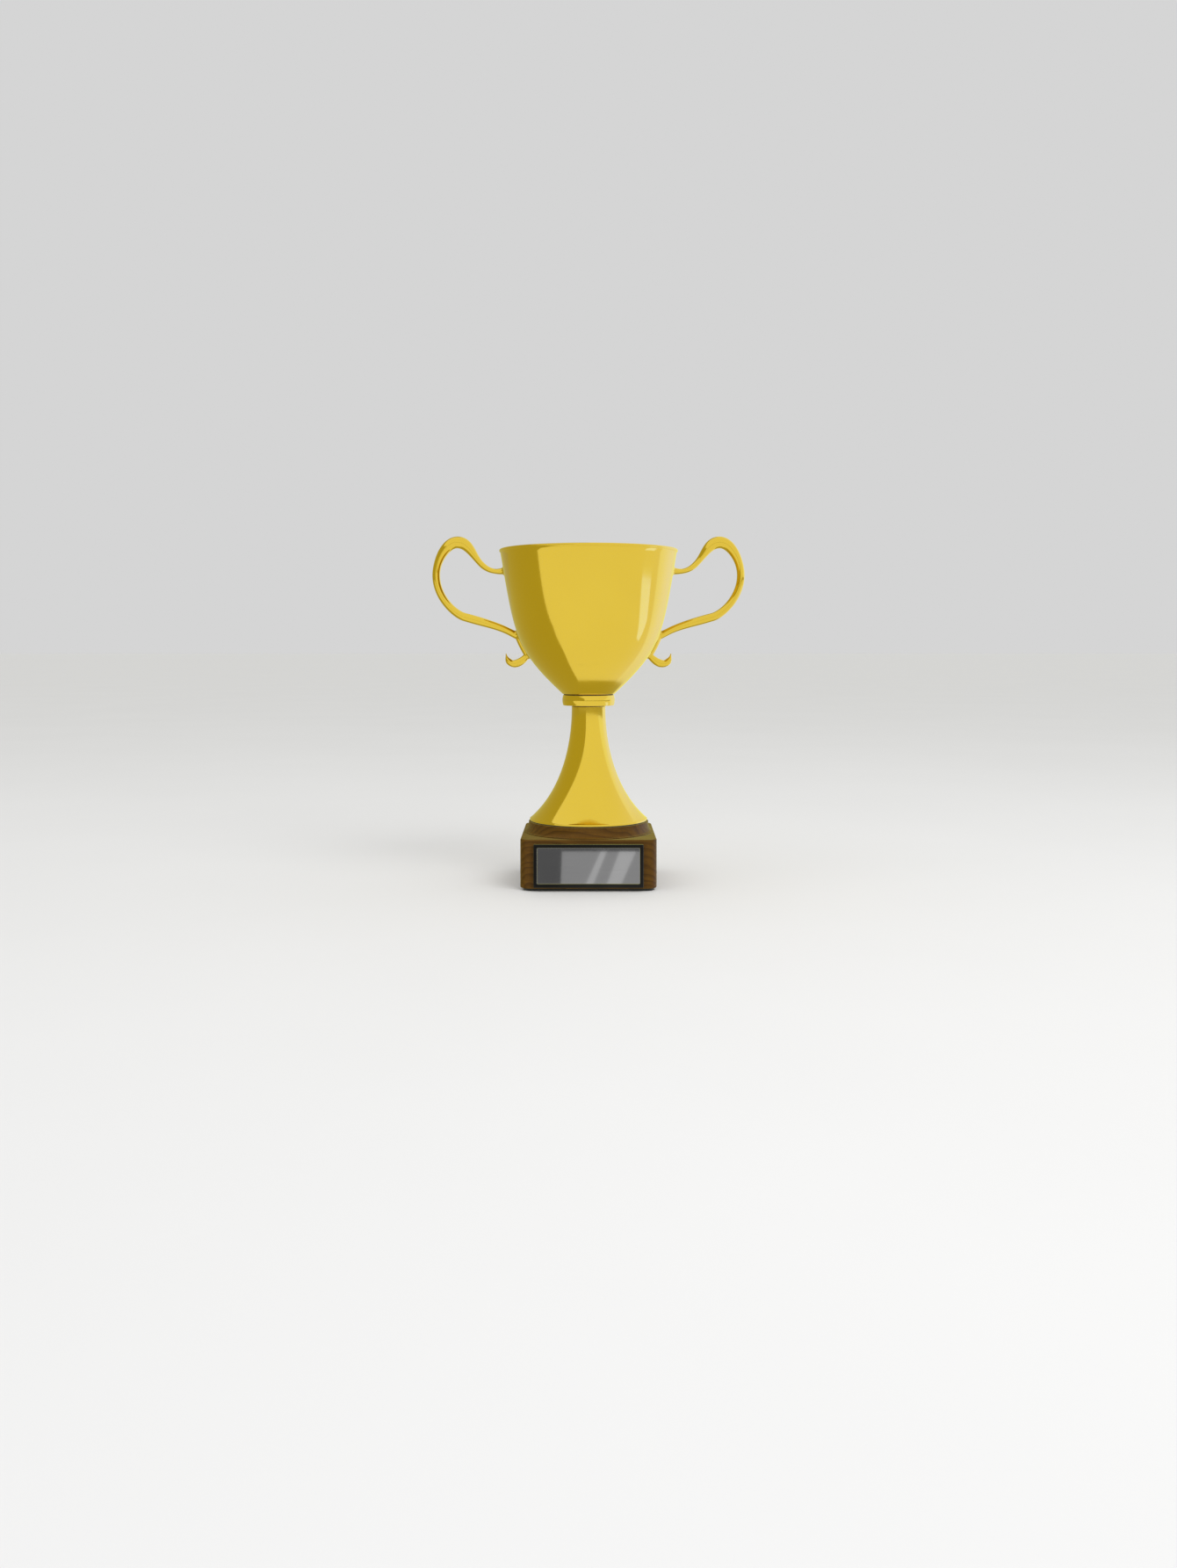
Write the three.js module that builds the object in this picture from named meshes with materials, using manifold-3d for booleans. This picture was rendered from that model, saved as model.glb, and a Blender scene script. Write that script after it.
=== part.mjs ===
// A two-handled cup trophy: a spun brass cup on a collar and a trumpet stem, over a wooden plinth
// with a framed nameplate. Millimetres, +Z up. The origin is the centre of the underside, the
// nameplate faces -Y and the handles stand out along X.
import * as THREE from 'three';
import { LoftGeometry } from 'three/addons/geometries/LoftGeometry.js';
import { mergeVertices } from 'three/addons/utils/BufferGeometryUtils.js';
import Module from 'manifold-3d';

const wasm = await Module();
wasm.setup();

// ---- Driving dimensions ----

// Plinth: a square block under a round turned shoulder, on a felt sheet. The shoulder's top takes
// the stem's foot, and its cove reaches out to the faces of the block.
const feltThickness = 2;
const feltInset = 2;
const blockHeight = 40.6;
const blockCornerRadius = 9;
const blockEdgeRound = 1;
const shoulderHeight = 9.2;
const shoulderLipHeight = 0.8;
const shoulderTopMargin = 1;
const coveReach = 4;
const coveFootPull = 2.2;
const coveTopPull = 4.6;

// Nameplate: a plate and its frame, both stuck to the block's front and set in from its edges
const plaqueSideMargin = 11.4;
const plaqueTopMargin = 3.3;
const plaqueBottomMargin = 1.5;
const plateThickness = 1;
const frameBar = 2.9;
const frameStandOut = 2;
const frameFitGap = 0.15;
const frameCornerRadius = 0.8;
const tapeThickness = 0.5;
const tapeInset = 0.5;

// Stem: a hollow spun trumpet with a flat top and a lip turned in under its foot
const stemHeight = 98.7;
const stemFootRadius = 51;
const stemNeckRadius = 14.6;
const stemWall = 1.5;
const stemTopThickness = 3;
const stemFootLand = 1.2;
const stemFootSweep = 26;
const stemFootRise = 22.5;
const stemNeckRise = 60.5;
const stemLipWidth = 6;
const gasketThickness = 0.8;
const gasketInset = 0.6;

// Collar: a turned barrel between two thin fibre washers
const collarHeight = 9.1;
const collarRadius = 22.8;
const collarBulge = 0.6;
const collarReliefRadius = 16;
const collarReliefDepth = 3;
const fibreThickness = 0.8;
const fibreInset = 0.6;

// Cup: spun sheet with a rolled rim; the wall is one curve drawn from the flat bottom to the rim
const cupHeight = 124.4;
const cupRimRadius = 77;
const cupFlatRadius = 22.5;
const cupWall = 1.2;
const cupBellyRadius = 63.7;
const cupBellyHeight = 38.4;
const cupShoulderRadius = 64.4;
const cupShoulderHeight = 49.3;
const rimBeadRadius = 1.4;

// Handles: one casting each, with an S-shaped arm, a strap on the cup's wall and a small curl
const handleUpperDrop = 16.5;
const handleLowerHeight = 49.2;
const handleCrestReach = 37.5;
const handleCrestRise = 7.9;
const handleBowReach = 56;
const handleBowDrop = 20.8;
const handleElbowReach = 31.2;
const handleElbowRise = 17.8;
const handleSeatGap = 0.3;
const strapThickness = 3;
const strapWidth = 7.6;
const curlHeight = 33;
const curlReach = 18;
const curlRise = 1.7;

// Fasteners: M6 tie rod with its nuts and washers, M3 button-head screws for the handles
const rodRadius = 3;
const rodClearance = 0.5;
const rodProtrusion = 2;
const threadGap = 0.3;
const nutAcrossFlats = 10;
const nutHeight = 5;
const domeNutHexHeight = 5.5;
const domeRadius = 4.75;
const domeNutHeight = 11.5;
const rodPastHex = 0.5;
const washerThickness = 1.6;
const washerRadius = 9;
const counterboreRadius = 13;
const counterboreSpare = 1.4;
const screwRadius = 1.5;
const screwHeadRadius = 2.9;
const screwHeadHeight = 1.8;
const screwGrip = 4;
const screwHoleClearance = 0.4;
const screwSocketFlats = 2;
const screwSocketDepth = 1;
const screwWasherRadius = 3.6;
const screwWasherThickness = 0.6;

// How finely round things are cut
const turnedSides = 48;
const stemSides = 36;
const smallSides = 16;
const sectionSides = 12;

// ---- Plinth and nameplate sizes that follow from the stem's foot ----

const shoulderTopRadius = stemFootRadius + shoulderTopMargin;
const shoulderFootRadius = shoulderTopRadius + coveReach;
const blockWidth = 2 * (shoulderFootRadius + blockEdgeRound);
const blockFront = -blockWidth / 2;
const frameWidth = blockWidth - 2 * plaqueSideMargin;
const frameHeight = blockHeight - plaqueTopMargin - plaqueBottomMargin;
const openingWidth = frameWidth - 2 * frameBar;
const openingHeight = frameHeight - 2 * frameBar;

// ---- Levels up the trophy ----

const blockBottom = feltThickness;
const blockTop = blockBottom + blockHeight;
const plaqueCentre = blockBottom + plaqueBottomMargin + frameHeight / 2;
const shoulderTop = blockTop + shoulderHeight;
const stemFoot = shoulderTop + gasketThickness;
const stemTop = stemFoot + stemHeight;
const collarBottom = stemTop + fibreThickness;
const collarTop = collarBottom + collarHeight;
const cupBottom = collarTop + fibreThickness;
const cupFloor = cupBottom + cupWall;
const rimLevel = cupBottom + cupHeight;
const holeRadius = rodRadius + rodClearance;

// ---- Materials ----

const gold = () => new THREE.MeshStandardMaterial({ color: 0xe0c240, metalness: 1, roughness: 0.22 });
const steel = () => new THREE.MeshStandardMaterial({ color: 0xb9bcc0, metalness: 1, roughness: 0.35 });
const wood = () => new THREE.MeshStandardMaterial({ color: 0x66441d, metalness: 0, roughness: 0.4 });
const silver = () => new THREE.MeshStandardMaterial({ color: 0x9a9a9c, metalness: 1, roughness: 0.25 });
const black = () => new THREE.MeshStandardMaterial({ color: 0x0a0a0b, metalness: 0, roughness: 0.35 });
const felt = () => new THREE.MeshStandardMaterial({ color: 0x15181a, metalness: 0, roughness: 0.95 });
const fibre = () => new THREE.MeshStandardMaterial({ color: 0x1a1714, metalness: 0, roughness: 0.8 });
const tape = () => new THREE.MeshStandardMaterial({ color: 0xd9d6cc, metalness: 0, roughness: 0.7 });

// ---- Tools for making solids ----

// A body of revolution about Z. The profile is [radius, height] pairs, anticlockwise with the
// radius to the right; it starts and ends on the axis, or ends where it starts.
function turned(profile, sides) {
  const points = profile.map(([radius, height]) => new THREE.Vector2(radius, height));
  return new THREE.LatheGeometry(points, sides).rotateX(Math.PI / 2);
}

// A plain ring or disc with a hole, from one level to another
function ring(inner, outer, bottom, top, sides) {
  return turned([[inner, bottom], [outer, bottom], [outer, top], [inner, top], [inner, bottom]], sides);
}

// A plain round bar on the axis
function bar(radius, bottom, top, sides) {
  return turned([[0, bottom], [radius, bottom], [radius, top], [0, top]], sides);
}

function solidOf(geometry) {
  const bare = new THREE.BufferGeometry();
  bare.setAttribute('position', geometry.getAttribute('position'));
  bare.setIndex(geometry.index);
  const merged = mergeVertices(bare);
  return new wasm.Manifold(new wasm.Mesh({
    numProp: 3,
    vertProperties: merged.attributes.position.array,
    triVerts: new Uint32Array(merged.index.array),
  }));
}

function geometryOf(solid) {
  const mesh = solid.getMesh();
  const geometry = new THREE.BufferGeometry();
  geometry.setAttribute('position', new THREE.BufferAttribute(mesh.vertProperties, 3));
  geometry.setIndex(new THREE.BufferAttribute(mesh.triVerts, 1));
  geometry.computeVertexNormals();
  return geometry;
}

function cut(geometry, ...tools) {
  let solid = solidOf(geometry);
  for (const tool of tools) {
    solid = solid.subtract(solidOf(tool));
  }
  return geometryOf(solid);
}

function join(...geometries) {
  const solids = geometries.map(solidOf);
  return geometryOf(solids.reduce((sum, solid) => sum.add(solid)));
}

// A flat curve moved sideways: positive distances go to the right of its direction
function offsetPoints(curve, distance, steps) {
  const points = [];
  for (let i = 0; i <= steps; i += 1) {
    const point = curve.getPoint(i / steps);
    const tangent = curve.getTangent(i / steps);
    points.push([point.x + distance * tangent.y, point.y - distance * tangent.x]);
  }
  return points;
}

// Where a wall, given as [radius, height] pairs, stands at a height
function radiusAt(points, height) {
  for (let i = 1; i < points.length; i += 1) {
    const [r0, z0] = points[i - 1];
    const [r1, z1] = points[i];
    if ((z0 - height) * (z1 - height) <= 0) {
      return r0 + ((height - z0) / (z1 - z0)) * (r1 - r0);
    }
  }
  throw new Error(`no wall at height ${height}`);
}

function roundedRectangle(width, height, radius) {
  const x = width / 2;
  const y = height / 2;
  const shape = new THREE.Shape();
  shape.moveTo(x - radius, -y);
  shape.absarc(x - radius, -y + radius, radius, -Math.PI / 2, 0);
  shape.absarc(x - radius, y - radius, radius, 0, Math.PI / 2);
  shape.absarc(-x + radius, y - radius, radius, Math.PI / 2, Math.PI);
  shape.absarc(-x + radius, -y + radius, radius, Math.PI, 1.5 * Math.PI);
  shape.closePath();
  return shape;
}

function hexagon(acrossFlats) {
  const radius = acrossFlats / Math.sqrt(3);
  const corners = [];
  for (let i = 0; i < 6; i += 1) {
    const angle = (i * Math.PI) / 3;
    corners.push(new THREE.Vector2(radius * Math.cos(angle), radius * Math.sin(angle)));
  }
  return new THREE.Shape(corners);
}

function hexBar(acrossFlats, bottom, top) {
  const settings = { depth: top - bottom, bevelEnabled: false };
  return new THREE.ExtrudeGeometry(hexagon(acrossFlats), settings).translate(0, 0, bottom);
}

// A flat sheet or block standing on a level, with rounded corners and, if asked, rounded edges
function slab(width, depth, cornerRadius, bottom, top, edgeRound = 0) {
  const rounded = edgeRound > 0;
  const settings = {
    depth: top - bottom - 2 * edgeRound,
    curveSegments: 4,
    bevelEnabled: rounded,
    bevelThickness: edgeRound,
    bevelSize: edgeRound,
    bevelOffset: -edgeRound,
    bevelSegments: 2,
  };
  const shape = roundedRectangle(width, depth, cornerRadius);
  return new THREE.ExtrudeGeometry(shape, settings).translate(0, 0, bottom + edgeRound);
}

// A sheet standing on edge, centred on the nameplate, between two distances in front of the block
function frontSheet(width, height, cornerRadius, from, to) {
  const sheet = slab(width, height, cornerRadius, from, to);
  return sheet.rotateX(Math.PI / 2).translate(0, blockFront, plaqueCentre);
}

// ---- Plinth ----

const nutStack = washerThickness + nutHeight + rodProtrusion;
const counterboreTop = blockBottom + nutStack + counterboreSpare;

function baseFelt() {
  const width = blockWidth - 2 * feltInset;
  return slab(width, width, blockCornerRadius - feltInset, 0, blockBottom);
}

function plinthBlock() {
  const block = slab(blockWidth, blockWidth, blockCornerRadius, blockBottom, blockTop, blockEdgeRound);
  const rodHole = bar(holeRadius, blockBottom - 1, blockTop + 1, smallSides);
  const counterbore = bar(counterboreRadius, blockBottom - 1, counterboreTop, turnedSides / 2);
  return cut(block, rodHole, counterbore);
}

// The cove falls almost straight from the top and then sweeps out to a thin lip
function plinthShoulder() {
  const lipTop = blockTop + shoulderLipHeight;
  const cove = new THREE.CubicBezierCurve(
    new THREE.Vector2(shoulderFootRadius, lipTop),
    new THREE.Vector2(shoulderFootRadius - coveFootPull, lipTop),
    new THREE.Vector2(shoulderTopRadius, shoulderTop - coveTopPull),
    new THREE.Vector2(shoulderTopRadius, shoulderTop),
  );
  return turned([
    [holeRadius, blockTop],
    [shoulderFootRadius, blockTop],
    ...offsetPoints(cove, 0, 6),
    [holeRadius, shoulderTop],
    [holeRadius, blockTop],
  ], turnedSides);
}

// ---- Nameplate ----

const plateBack = tapeThickness;
const plateFace = plateBack + plateThickness;
const frameFront = plateFace + frameStandOut;

function plaqueTape() {
  const width = frameWidth - 2 * tapeInset;
  const height = frameHeight - 2 * tapeInset;
  return frontSheet(width, height, frameCornerRadius, 0, plateBack);
}

function plaquePlate() {
  const width = openingWidth - 2 * frameFitGap;
  const height = openingHeight - 2 * frameFitGap;
  return frontSheet(width, height, frameCornerRadius, plateBack, plateFace);
}

// The frame stands round the plate's edge and in front of its face
function plaqueFrame() {
  const outer = frontSheet(frameWidth, frameHeight, frameCornerRadius, plateBack, frameFront);
  return cut(outer, frontSheet(openingWidth, openingHeight, frameCornerRadius, 0, frameFront + 1));
}

// ---- Stem and collar ----

function stemShell() {
  const landTop = stemFoot + stemFootLand;
  const trumpet = new THREE.CubicBezierCurve(
    new THREE.Vector2(stemFootRadius, landTop),
    new THREE.Vector2(stemFootRadius - stemFootSweep, landTop + stemFootRise),
    new THREE.Vector2(stemNeckRadius, landTop + stemNeckRise),
    new THREE.Vector2(stemNeckRadius, stemTop),
  );
  const lipTop = stemFoot + stemWall;
  const lipRadius = stemFootRadius - stemLipWidth;
  const innerTop = stemTop - stemTopThickness;
  const inside = offsetPoints(trumpet, -stemWall, 10);
  const innerWall = inside.filter(([, height]) => height > lipTop && height < innerTop).reverse();
  return turned([
    [lipRadius, stemFoot],
    [stemFootRadius, stemFoot],
    ...offsetPoints(trumpet, 0, 10),
    [holeRadius, stemTop],
    [holeRadius, innerTop],
    [radiusAt(inside, innerTop), innerTop],
    ...innerWall,
    [radiusAt(inside, lipTop), lipTop],
    [lipRadius, lipTop],
    [lipRadius, stemFoot],
  ], stemSides);
}

function stemGasket() {
  const inner = stemFootRadius - stemLipWidth;
  return ring(inner, stemFootRadius - gasketInset, shoulderTop, stemFoot, stemSides);
}

// The barrel's side is an arc that bulges at mid height
const collarEndRadius = collarRadius - collarBulge;

function neckCollar() {
  const side = new THREE.QuadraticBezierCurve(
    new THREE.Vector2(collarEndRadius, collarBottom),
    new THREE.Vector2(collarRadius + collarBulge, (collarBottom + collarTop) / 2),
    new THREE.Vector2(collarEndRadius, collarTop),
  );
  return turned([
    [holeRadius, collarBottom],
    ...offsetPoints(side, 0, 6),
    [collarReliefRadius, collarTop],
    [collarReliefRadius, collarTop - collarReliefDepth],
    [holeRadius, collarTop - collarReliefDepth],
    [holeRadius, collarBottom],
  ], stemSides);
}

function fibreWasher(outer, bottom) {
  return ring(holeRadius, outer - fibreInset, bottom, bottom + fibreThickness, stemSides);
}

// ---- Cup ----

const cupCurve = new THREE.CubicBezierCurve(
  new THREE.Vector2(cupFlatRadius, cupBottom),
  new THREE.Vector2(cupBellyRadius, cupBottom + cupBellyHeight),
  new THREE.Vector2(cupShoulderRadius, cupBottom + cupShoulderHeight),
  new THREE.Vector2(cupRimRadius, rimLevel),
);
const cupSteps = 13;
const cupOutside = offsetPoints(cupCurve, 0, cupSteps);
const cupInside = offsetPoints(cupCurve, -cupWall, cupSteps);

// The outward direction of the wall at a height, as a unit vector in the radius-height plane
function wallNormal(height) {
  const above = radiusAt(cupOutside, height + 1);
  const below = radiusAt(cupOutside, height - 1);
  return new THREE.Vector2(2, below - above).normalize();
}

// The rim is rolled into a bead that is centred on the wall
function rimBead() {
  const [outerRadius, outerHeight] = cupOutside[cupSteps];
  const [innerRadius, innerHeight] = cupInside[cupSteps];
  const centre = new THREE.Vector2((outerRadius + innerRadius) / 2, (outerHeight + innerHeight) / 2);
  const start = THREE.MathUtils.degToRad(-60);
  const end = THREE.MathUtils.degToRad(240);
  const bead = new THREE.EllipseCurve(centre.x, centre.y, rimBeadRadius, rimBeadRadius, start, end);
  return bead.getPoints(6).map((point) => [point.x, point.y]);
}

function cupBowl() {
  const innerWall = cupInside.slice(0, cupSteps).filter(([, height]) => height > cupFloor).reverse();
  const bowl = turned([
    [holeRadius, cupBottom],
    ...cupOutside.slice(0, cupSteps),
    ...rimBead(),
    ...innerWall,
    [radiusAt(cupInside, cupFloor), cupFloor],
    [holeRadius, cupFloor],
    [holeRadius, cupBottom],
  ], turnedSides);
  return cut(bowl, ...screwAxes.map((axis) => screwHole(axis, -screwHeadHeight * 2, screwGrip * 2)));
}

// ---- Handles ----

// How far the handles' feet run into the wall before the cup's outside trims them
const embed = 3;
const armEndDrop = 1.8;
const curlRootLift = 1.5;
const curlRootBuried = 4.8;
const strapTopMargin = 2;
const strapFootMargin = 0.5;
const screwLowerDrop = 1.5;
const upperLevel = rimLevel - handleUpperDrop;
const lowerLevel = cupBottom + handleLowerHeight;
const curlLevel = cupBottom + curlHeight;

// Thickness in the handle's plane and width across it, at fractions of the length
const armSections = [
  { at: 0, thickness: 6.4, width: 9 },
  { at: 0.06, thickness: 4.3, width: 7.4 },
  { at: 0.13, thickness: 5.2, width: 7.8 },
  { at: 0.27, thickness: 10.3, width: 10.4 },
  { at: 0.45, thickness: 6.7, width: 8.6 },
  { at: 0.62, thickness: 6.6, width: 8 },
  { at: 0.76, thickness: 7.4, width: 8 },
  { at: 0.93, thickness: 6, width: 7.8 },
  { at: 1, thickness: 6.6, width: 8 },
];
const curlSections = [
  { at: 0, thickness: 5, width: 7.6 },
  { at: 0.5, thickness: 6.8, width: 7.4 },
  { at: 0.75, thickness: 5.6, width: 6.4 },
  { at: 1, thickness: 0.9, width: 2.4 },
];

function sectionAt(sections, fraction) {
  const next = Math.max(1, sections.findIndex((section) => section.at >= fraction));
  const low = sections[next - 1];
  const high = sections[next];
  const share = THREE.MathUtils.smoothstep(fraction, low.at, high.at);
  return {
    thickness: THREE.MathUtils.lerp(low.thickness, high.thickness, share),
    width: THREE.MathUtils.lerp(low.width, high.width, share),
  };
}

// A bar of changing section along a path in the radius-height plane. Each section is a rounded
// box, drawn as a superellipse.
function castBar(path, sections, steps) {
  const squareness = 2.6;
  const power = 2 / squareness;
  const soft = (value) => Math.sign(value) * Math.abs(value) ** power;
  const rings = [];
  for (let i = 0; i <= steps; i += 1) {
    const fraction = i / steps;
    const centre = path.getPointAt(fraction);
    const tangent = path.getTangentAt(fraction);
    const { thickness, width } = sectionAt(sections, fraction);
    const points = [];
    for (let j = 0; j < sectionSides; j += 1) {
      const angle = (2 * Math.PI * (j + 0.5)) / sectionSides;
      const across = (soft(Math.sin(angle)) * width) / 2;
      const outwards = (soft(Math.cos(angle)) * thickness) / 2;
      points.push(new THREE.Vector3(
        centre.x + outwards * tangent.y,
        across,
        centre.y - outwards * tangent.x,
      ));
    }
    rings.push(points);
  }
  return new LoftGeometry(rings, { capStart: true, capEnd: true });
}

// The arm leaves the cup under the rim, rises over a crest above it, bows out and comes back
function armPath() {
  const start = new THREE.Vector2(radiusAt(cupOutside, upperLevel) - embed, upperLevel);
  const crest = new THREE.Vector2(cupRimRadius + handleCrestReach, rimLevel + handleCrestRise);
  const bow = new THREE.Vector2(cupRimRadius + handleBowReach, rimLevel - handleBowDrop);
  const elbow = new THREE.Vector2(cupRimRadius + handleElbowReach, lowerLevel + handleElbowRise);
  const end = new THREE.Vector2(radiusAt(cupOutside, lowerLevel) - embed, lowerLevel - armEndDrop);
  const elbowSlope = THREE.MathUtils.degToRad(15.5);
  const endSlope = THREE.MathUtils.degToRad(33);
  const armPull = 28;
  const armDip = 7;
  const crestPullIn = 16.3;
  const crestPullOut = 9.9;
  const bowPullUp = 13;
  const bowPullDown = 19.8;
  const elbowPullOut = 8.6;
  const elbowPullIn = 31;
  const endPull = 18;
  const path = new THREE.Path();
  path.moveTo(start.x, start.y);
  path.bezierCurveTo(
    start.x + armPull, start.y - armDip,
    crest.x - crestPullIn, crest.y,
    crest.x, crest.y,
  );
  path.bezierCurveTo(
    crest.x + crestPullOut, crest.y,
    bow.x, bow.y + bowPullUp,
    bow.x, bow.y,
  );
  path.bezierCurveTo(
    bow.x, bow.y - bowPullDown,
    elbow.x + elbowPullOut * Math.cos(elbowSlope), elbow.y + elbowPullOut * Math.sin(elbowSlope),
    elbow.x, elbow.y,
  );
  path.bezierCurveTo(
    elbow.x - elbowPullIn * Math.cos(elbowSlope), elbow.y - elbowPullIn * Math.sin(elbowSlope),
    end.x + endPull * Math.cos(endSlope), end.y + endPull * Math.sin(endSlope),
    end.x, end.y,
  );
  return path;
}

// The curl springs from the wall below the arm, dips and turns up to a point
function curlPath() {
  const wall = radiusAt(cupOutside, curlLevel);
  const slope = THREE.MathUtils.degToRad(-50);
  const start = new THREE.Vector2(wall + curlRootLift, curlLevel);
  const tip = new THREE.Vector2(start.x + curlReach, start.y + curlRise);
  const startPull = 11;
  const tipPull = 11.7;
  const tipLean = 1.5;
  const path = new THREE.Path();
  path.moveTo(start.x - curlRootBuried * Math.cos(slope), start.y - curlRootBuried * Math.sin(slope));
  path.lineTo(start.x, start.y);
  path.bezierCurveTo(
    start.x + startPull * Math.cos(slope), start.y + startPull * Math.sin(slope),
    tip.x - tipLean, tip.y - tipPull,
    tip.x, tip.y,
  );
  return path;
}

// The strap lies on the wall between the arm's foot and the curl
function strapPath() {
  const points = [];
  const steps = 6;
  const strapTop = lowerLevel + strapTopMargin;
  const strapFoot = curlLevel + strapFootMargin;
  for (let i = 0; i <= steps; i += 1) {
    const height = THREE.MathUtils.lerp(strapTop, strapFoot, i / steps);
    const normal = wallNormal(height);
    const lift = strapThickness / 2 - embed / 2;
    points.push(new THREE.Vector2(
      radiusAt(cupOutside, height) + lift * normal.x,
      height + lift * normal.y,
    ));
  }
  return new THREE.SplineCurve(points);
}

// Where each screw crosses the wall: the height on the cup and the side it is on
const screwUpperLevel = upperLevel;
const screwLowerLevel = lowerLevel - screwLowerDrop;
const screwAxes = [
  { name: 'left_upper', side: -1, level: screwUpperLevel },
  { name: 'left_lower', side: -1, level: screwLowerLevel },
  { name: 'right_upper', side: 1, level: screwUpperLevel },
  { name: 'right_lower', side: 1, level: screwLowerLevel },
];

// Turns a piece built along +Z so that +Z points out through the wall at a screw
function placeOnWall(object, axis) {
  const normal = wallNormal(axis.level);
  const outwards = new THREE.Vector3(axis.side * normal.x, 0, normal.y);
  object.quaternion.setFromUnitVectors(new THREE.Vector3(0, 0, 1), outwards);
  object.position.set(axis.side * radiusAt(cupOutside, axis.level), 0, axis.level);
  object.updateMatrix();
  return object;
}

function screwHole(axis, from, to) {
  const hole = new THREE.Mesh(bar(screwRadius + screwHoleClearance, from, to, smallSides));
  placeOnWall(hole, axis);
  return hole.geometry.applyMatrix4(hole.matrix);
}

// The cup's outside as a filled body, a little larger than the cup, which shapes the handles' feet
function cupEnvelope() {
  const outside = offsetPoints(cupCurve, handleSeatGap, cupSteps);
  const top = rimLevel + 4 * rimBeadRadius;
  return turned([
    [0, cupBottom - handleSeatGap],
    ...outside,
    [outside[cupSteps][0], top],
    [0, top],
  ], turnedSides);
}

function handle(side) {
  const straps = [
    { at: 0, thickness: strapThickness + embed, width: strapWidth },
    { at: 1, thickness: strapThickness + embed, width: strapWidth },
  ];
  const casting = join(
    castBar(armPath(), armSections, 36),
    castBar(strapPath(), straps, 5),
    castBar(curlPath(), curlSections, 14),
  );
  const ownScrews = screwAxes.filter((axis) => axis.side === 1);
  const holes = ownScrews.map((axis) => screwHole(axis, -2 * embed, screwGrip));
  const shape = cut(casting, cupEnvelope(), ...holes);
  return side === 1 ? shape : shape.rotateZ(Math.PI);
}

// ---- Fasteners ----

const washerSeat = -cupWall - threadGap;
const headSeat = washerSeat - screwWasherThickness - threadGap;
const screwTip = screwGrip - 2 * threadGap;

// A button-head screw along +Z whose head is inside the cup, with a hex socket
function handleScrew() {
  const crown = headSeat - screwHeadHeight;
  const crownFlat = 0.55 * screwHeadRadius;
  const crownMiddle = [0.88 * screwHeadRadius, headSeat - 0.55 * screwHeadHeight];
  const socket = hexBar(screwSocketFlats, crown - screwHeadHeight, crown + screwSocketDepth);
  const blank = turned([
    [0, crown],
    [crownFlat, crown],
    crownMiddle,
    [screwHeadRadius, headSeat],
    [screwRadius, headSeat],
    [screwRadius, screwTip],
    [0, screwTip],
  ], smallSides);
  return cut(blank, socket);
}

function handleWasher() {
  const inner = screwRadius + threadGap;
  return ring(inner, screwWasherRadius, washerSeat - screwWasherThickness, washerSeat, smallSides);
}

const rodBottom = counterboreTop - nutStack;
const bowlNutSeat = cupFloor + washerThickness;
const rodTop = bowlNutSeat + domeNutHexHeight + rodPastHex;

function tieRod() {
  const chamfer = 0.6;
  return turned([
    [0, rodBottom],
    [rodRadius - chamfer, rodBottom],
    [rodRadius, rodBottom + chamfer],
    [rodRadius, rodTop - chamfer],
    [rodRadius - chamfer, rodTop],
    [0, rodTop],
  ], smallSides);
}

function baseNut() {
  const top = counterboreTop - washerThickness;
  const bore = bar(rodRadius + threadGap, top - 2 * nutHeight, top + 1, smallSides);
  return cut(hexBar(nutAcrossFlats, top - nutHeight, top), bore);
}

// A domed nut that closes the top of the rod on the cup's floor: a hexagon with an elliptic cap
function bowlNut() {
  const domeStart = bowlNutSeat + domeNutHexHeight;
  const domeRise = domeNutHeight - domeNutHexHeight;
  const domeSteps = 4;
  const dome = [[0, bowlNutSeat + threadGap], [domeRadius, bowlNutSeat + threadGap]];
  for (let i = 0; i < domeSteps; i += 1) {
    const angle = (i * Math.PI) / (2 * domeSteps);
    dome.push([domeRadius * Math.cos(angle), domeStart + domeRise * Math.sin(angle)]);
  }
  dome.push([0, domeStart + domeRise]);
  const nut = join(hexBar(nutAcrossFlats, bowlNutSeat, domeStart), turned(dome, smallSides));
  return cut(nut, bar(rodRadius + threadGap, bowlNutSeat - 1, rodTop + 1, smallSides));
}

function rodWasher(bottom) {
  return ring(rodRadius + threadGap, washerRadius, bottom, bottom + washerThickness, smallSides);
}

// ---- Assembly ----

const trophy = new THREE.Group();

function add(name, geometry, material) {
  const mesh = new THREE.Mesh(geometry, material);
  mesh.name = name;
  trophy.add(mesh);
  return mesh;
}

add('base_felt', baseFelt(), felt());
add('plinth_block', plinthBlock(), wood());
add('plinth_shoulder', plinthShoulder(), wood());
add('plaque_tape', plaqueTape(), tape());
add('plaque_plate', plaquePlate(), silver());
add('plaque_frame', plaqueFrame(), black());
add('stem_gasket', stemGasket(), fibre());
add('stem_shell', stemShell(), gold());
add('collar_washer_lower', fibreWasher(stemNeckRadius, stemTop), fibre());
add('neck_collar', neckCollar(), gold());
add('collar_washer_upper', fibreWasher(collarEndRadius, collarTop), fibre());
add('cup_bowl', cupBowl(), gold());
add('handle_left', handle(-1), gold());
add('handle_right', handle(1), gold());
for (const axis of screwAxes) {
  placeOnWall(add(`handle_screw_${axis.name}`, handleScrew(), steel()), axis);
  placeOnWall(add(`handle_washer_${axis.name}`, handleWasher(), steel()), axis);
}
add('tie_rod', tieRod(), steel());
add('base_washer', rodWasher(counterboreTop - washerThickness), steel());
add('base_nut', baseNut(), steel());
add('bowl_washer', rodWasher(cupFloor), steel());
add('bowl_nut', bowlNut(), steel());

export default trophy;
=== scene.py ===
import math

import bpy
import numpy as np
from mathutils import Matrix, Vector


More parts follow.
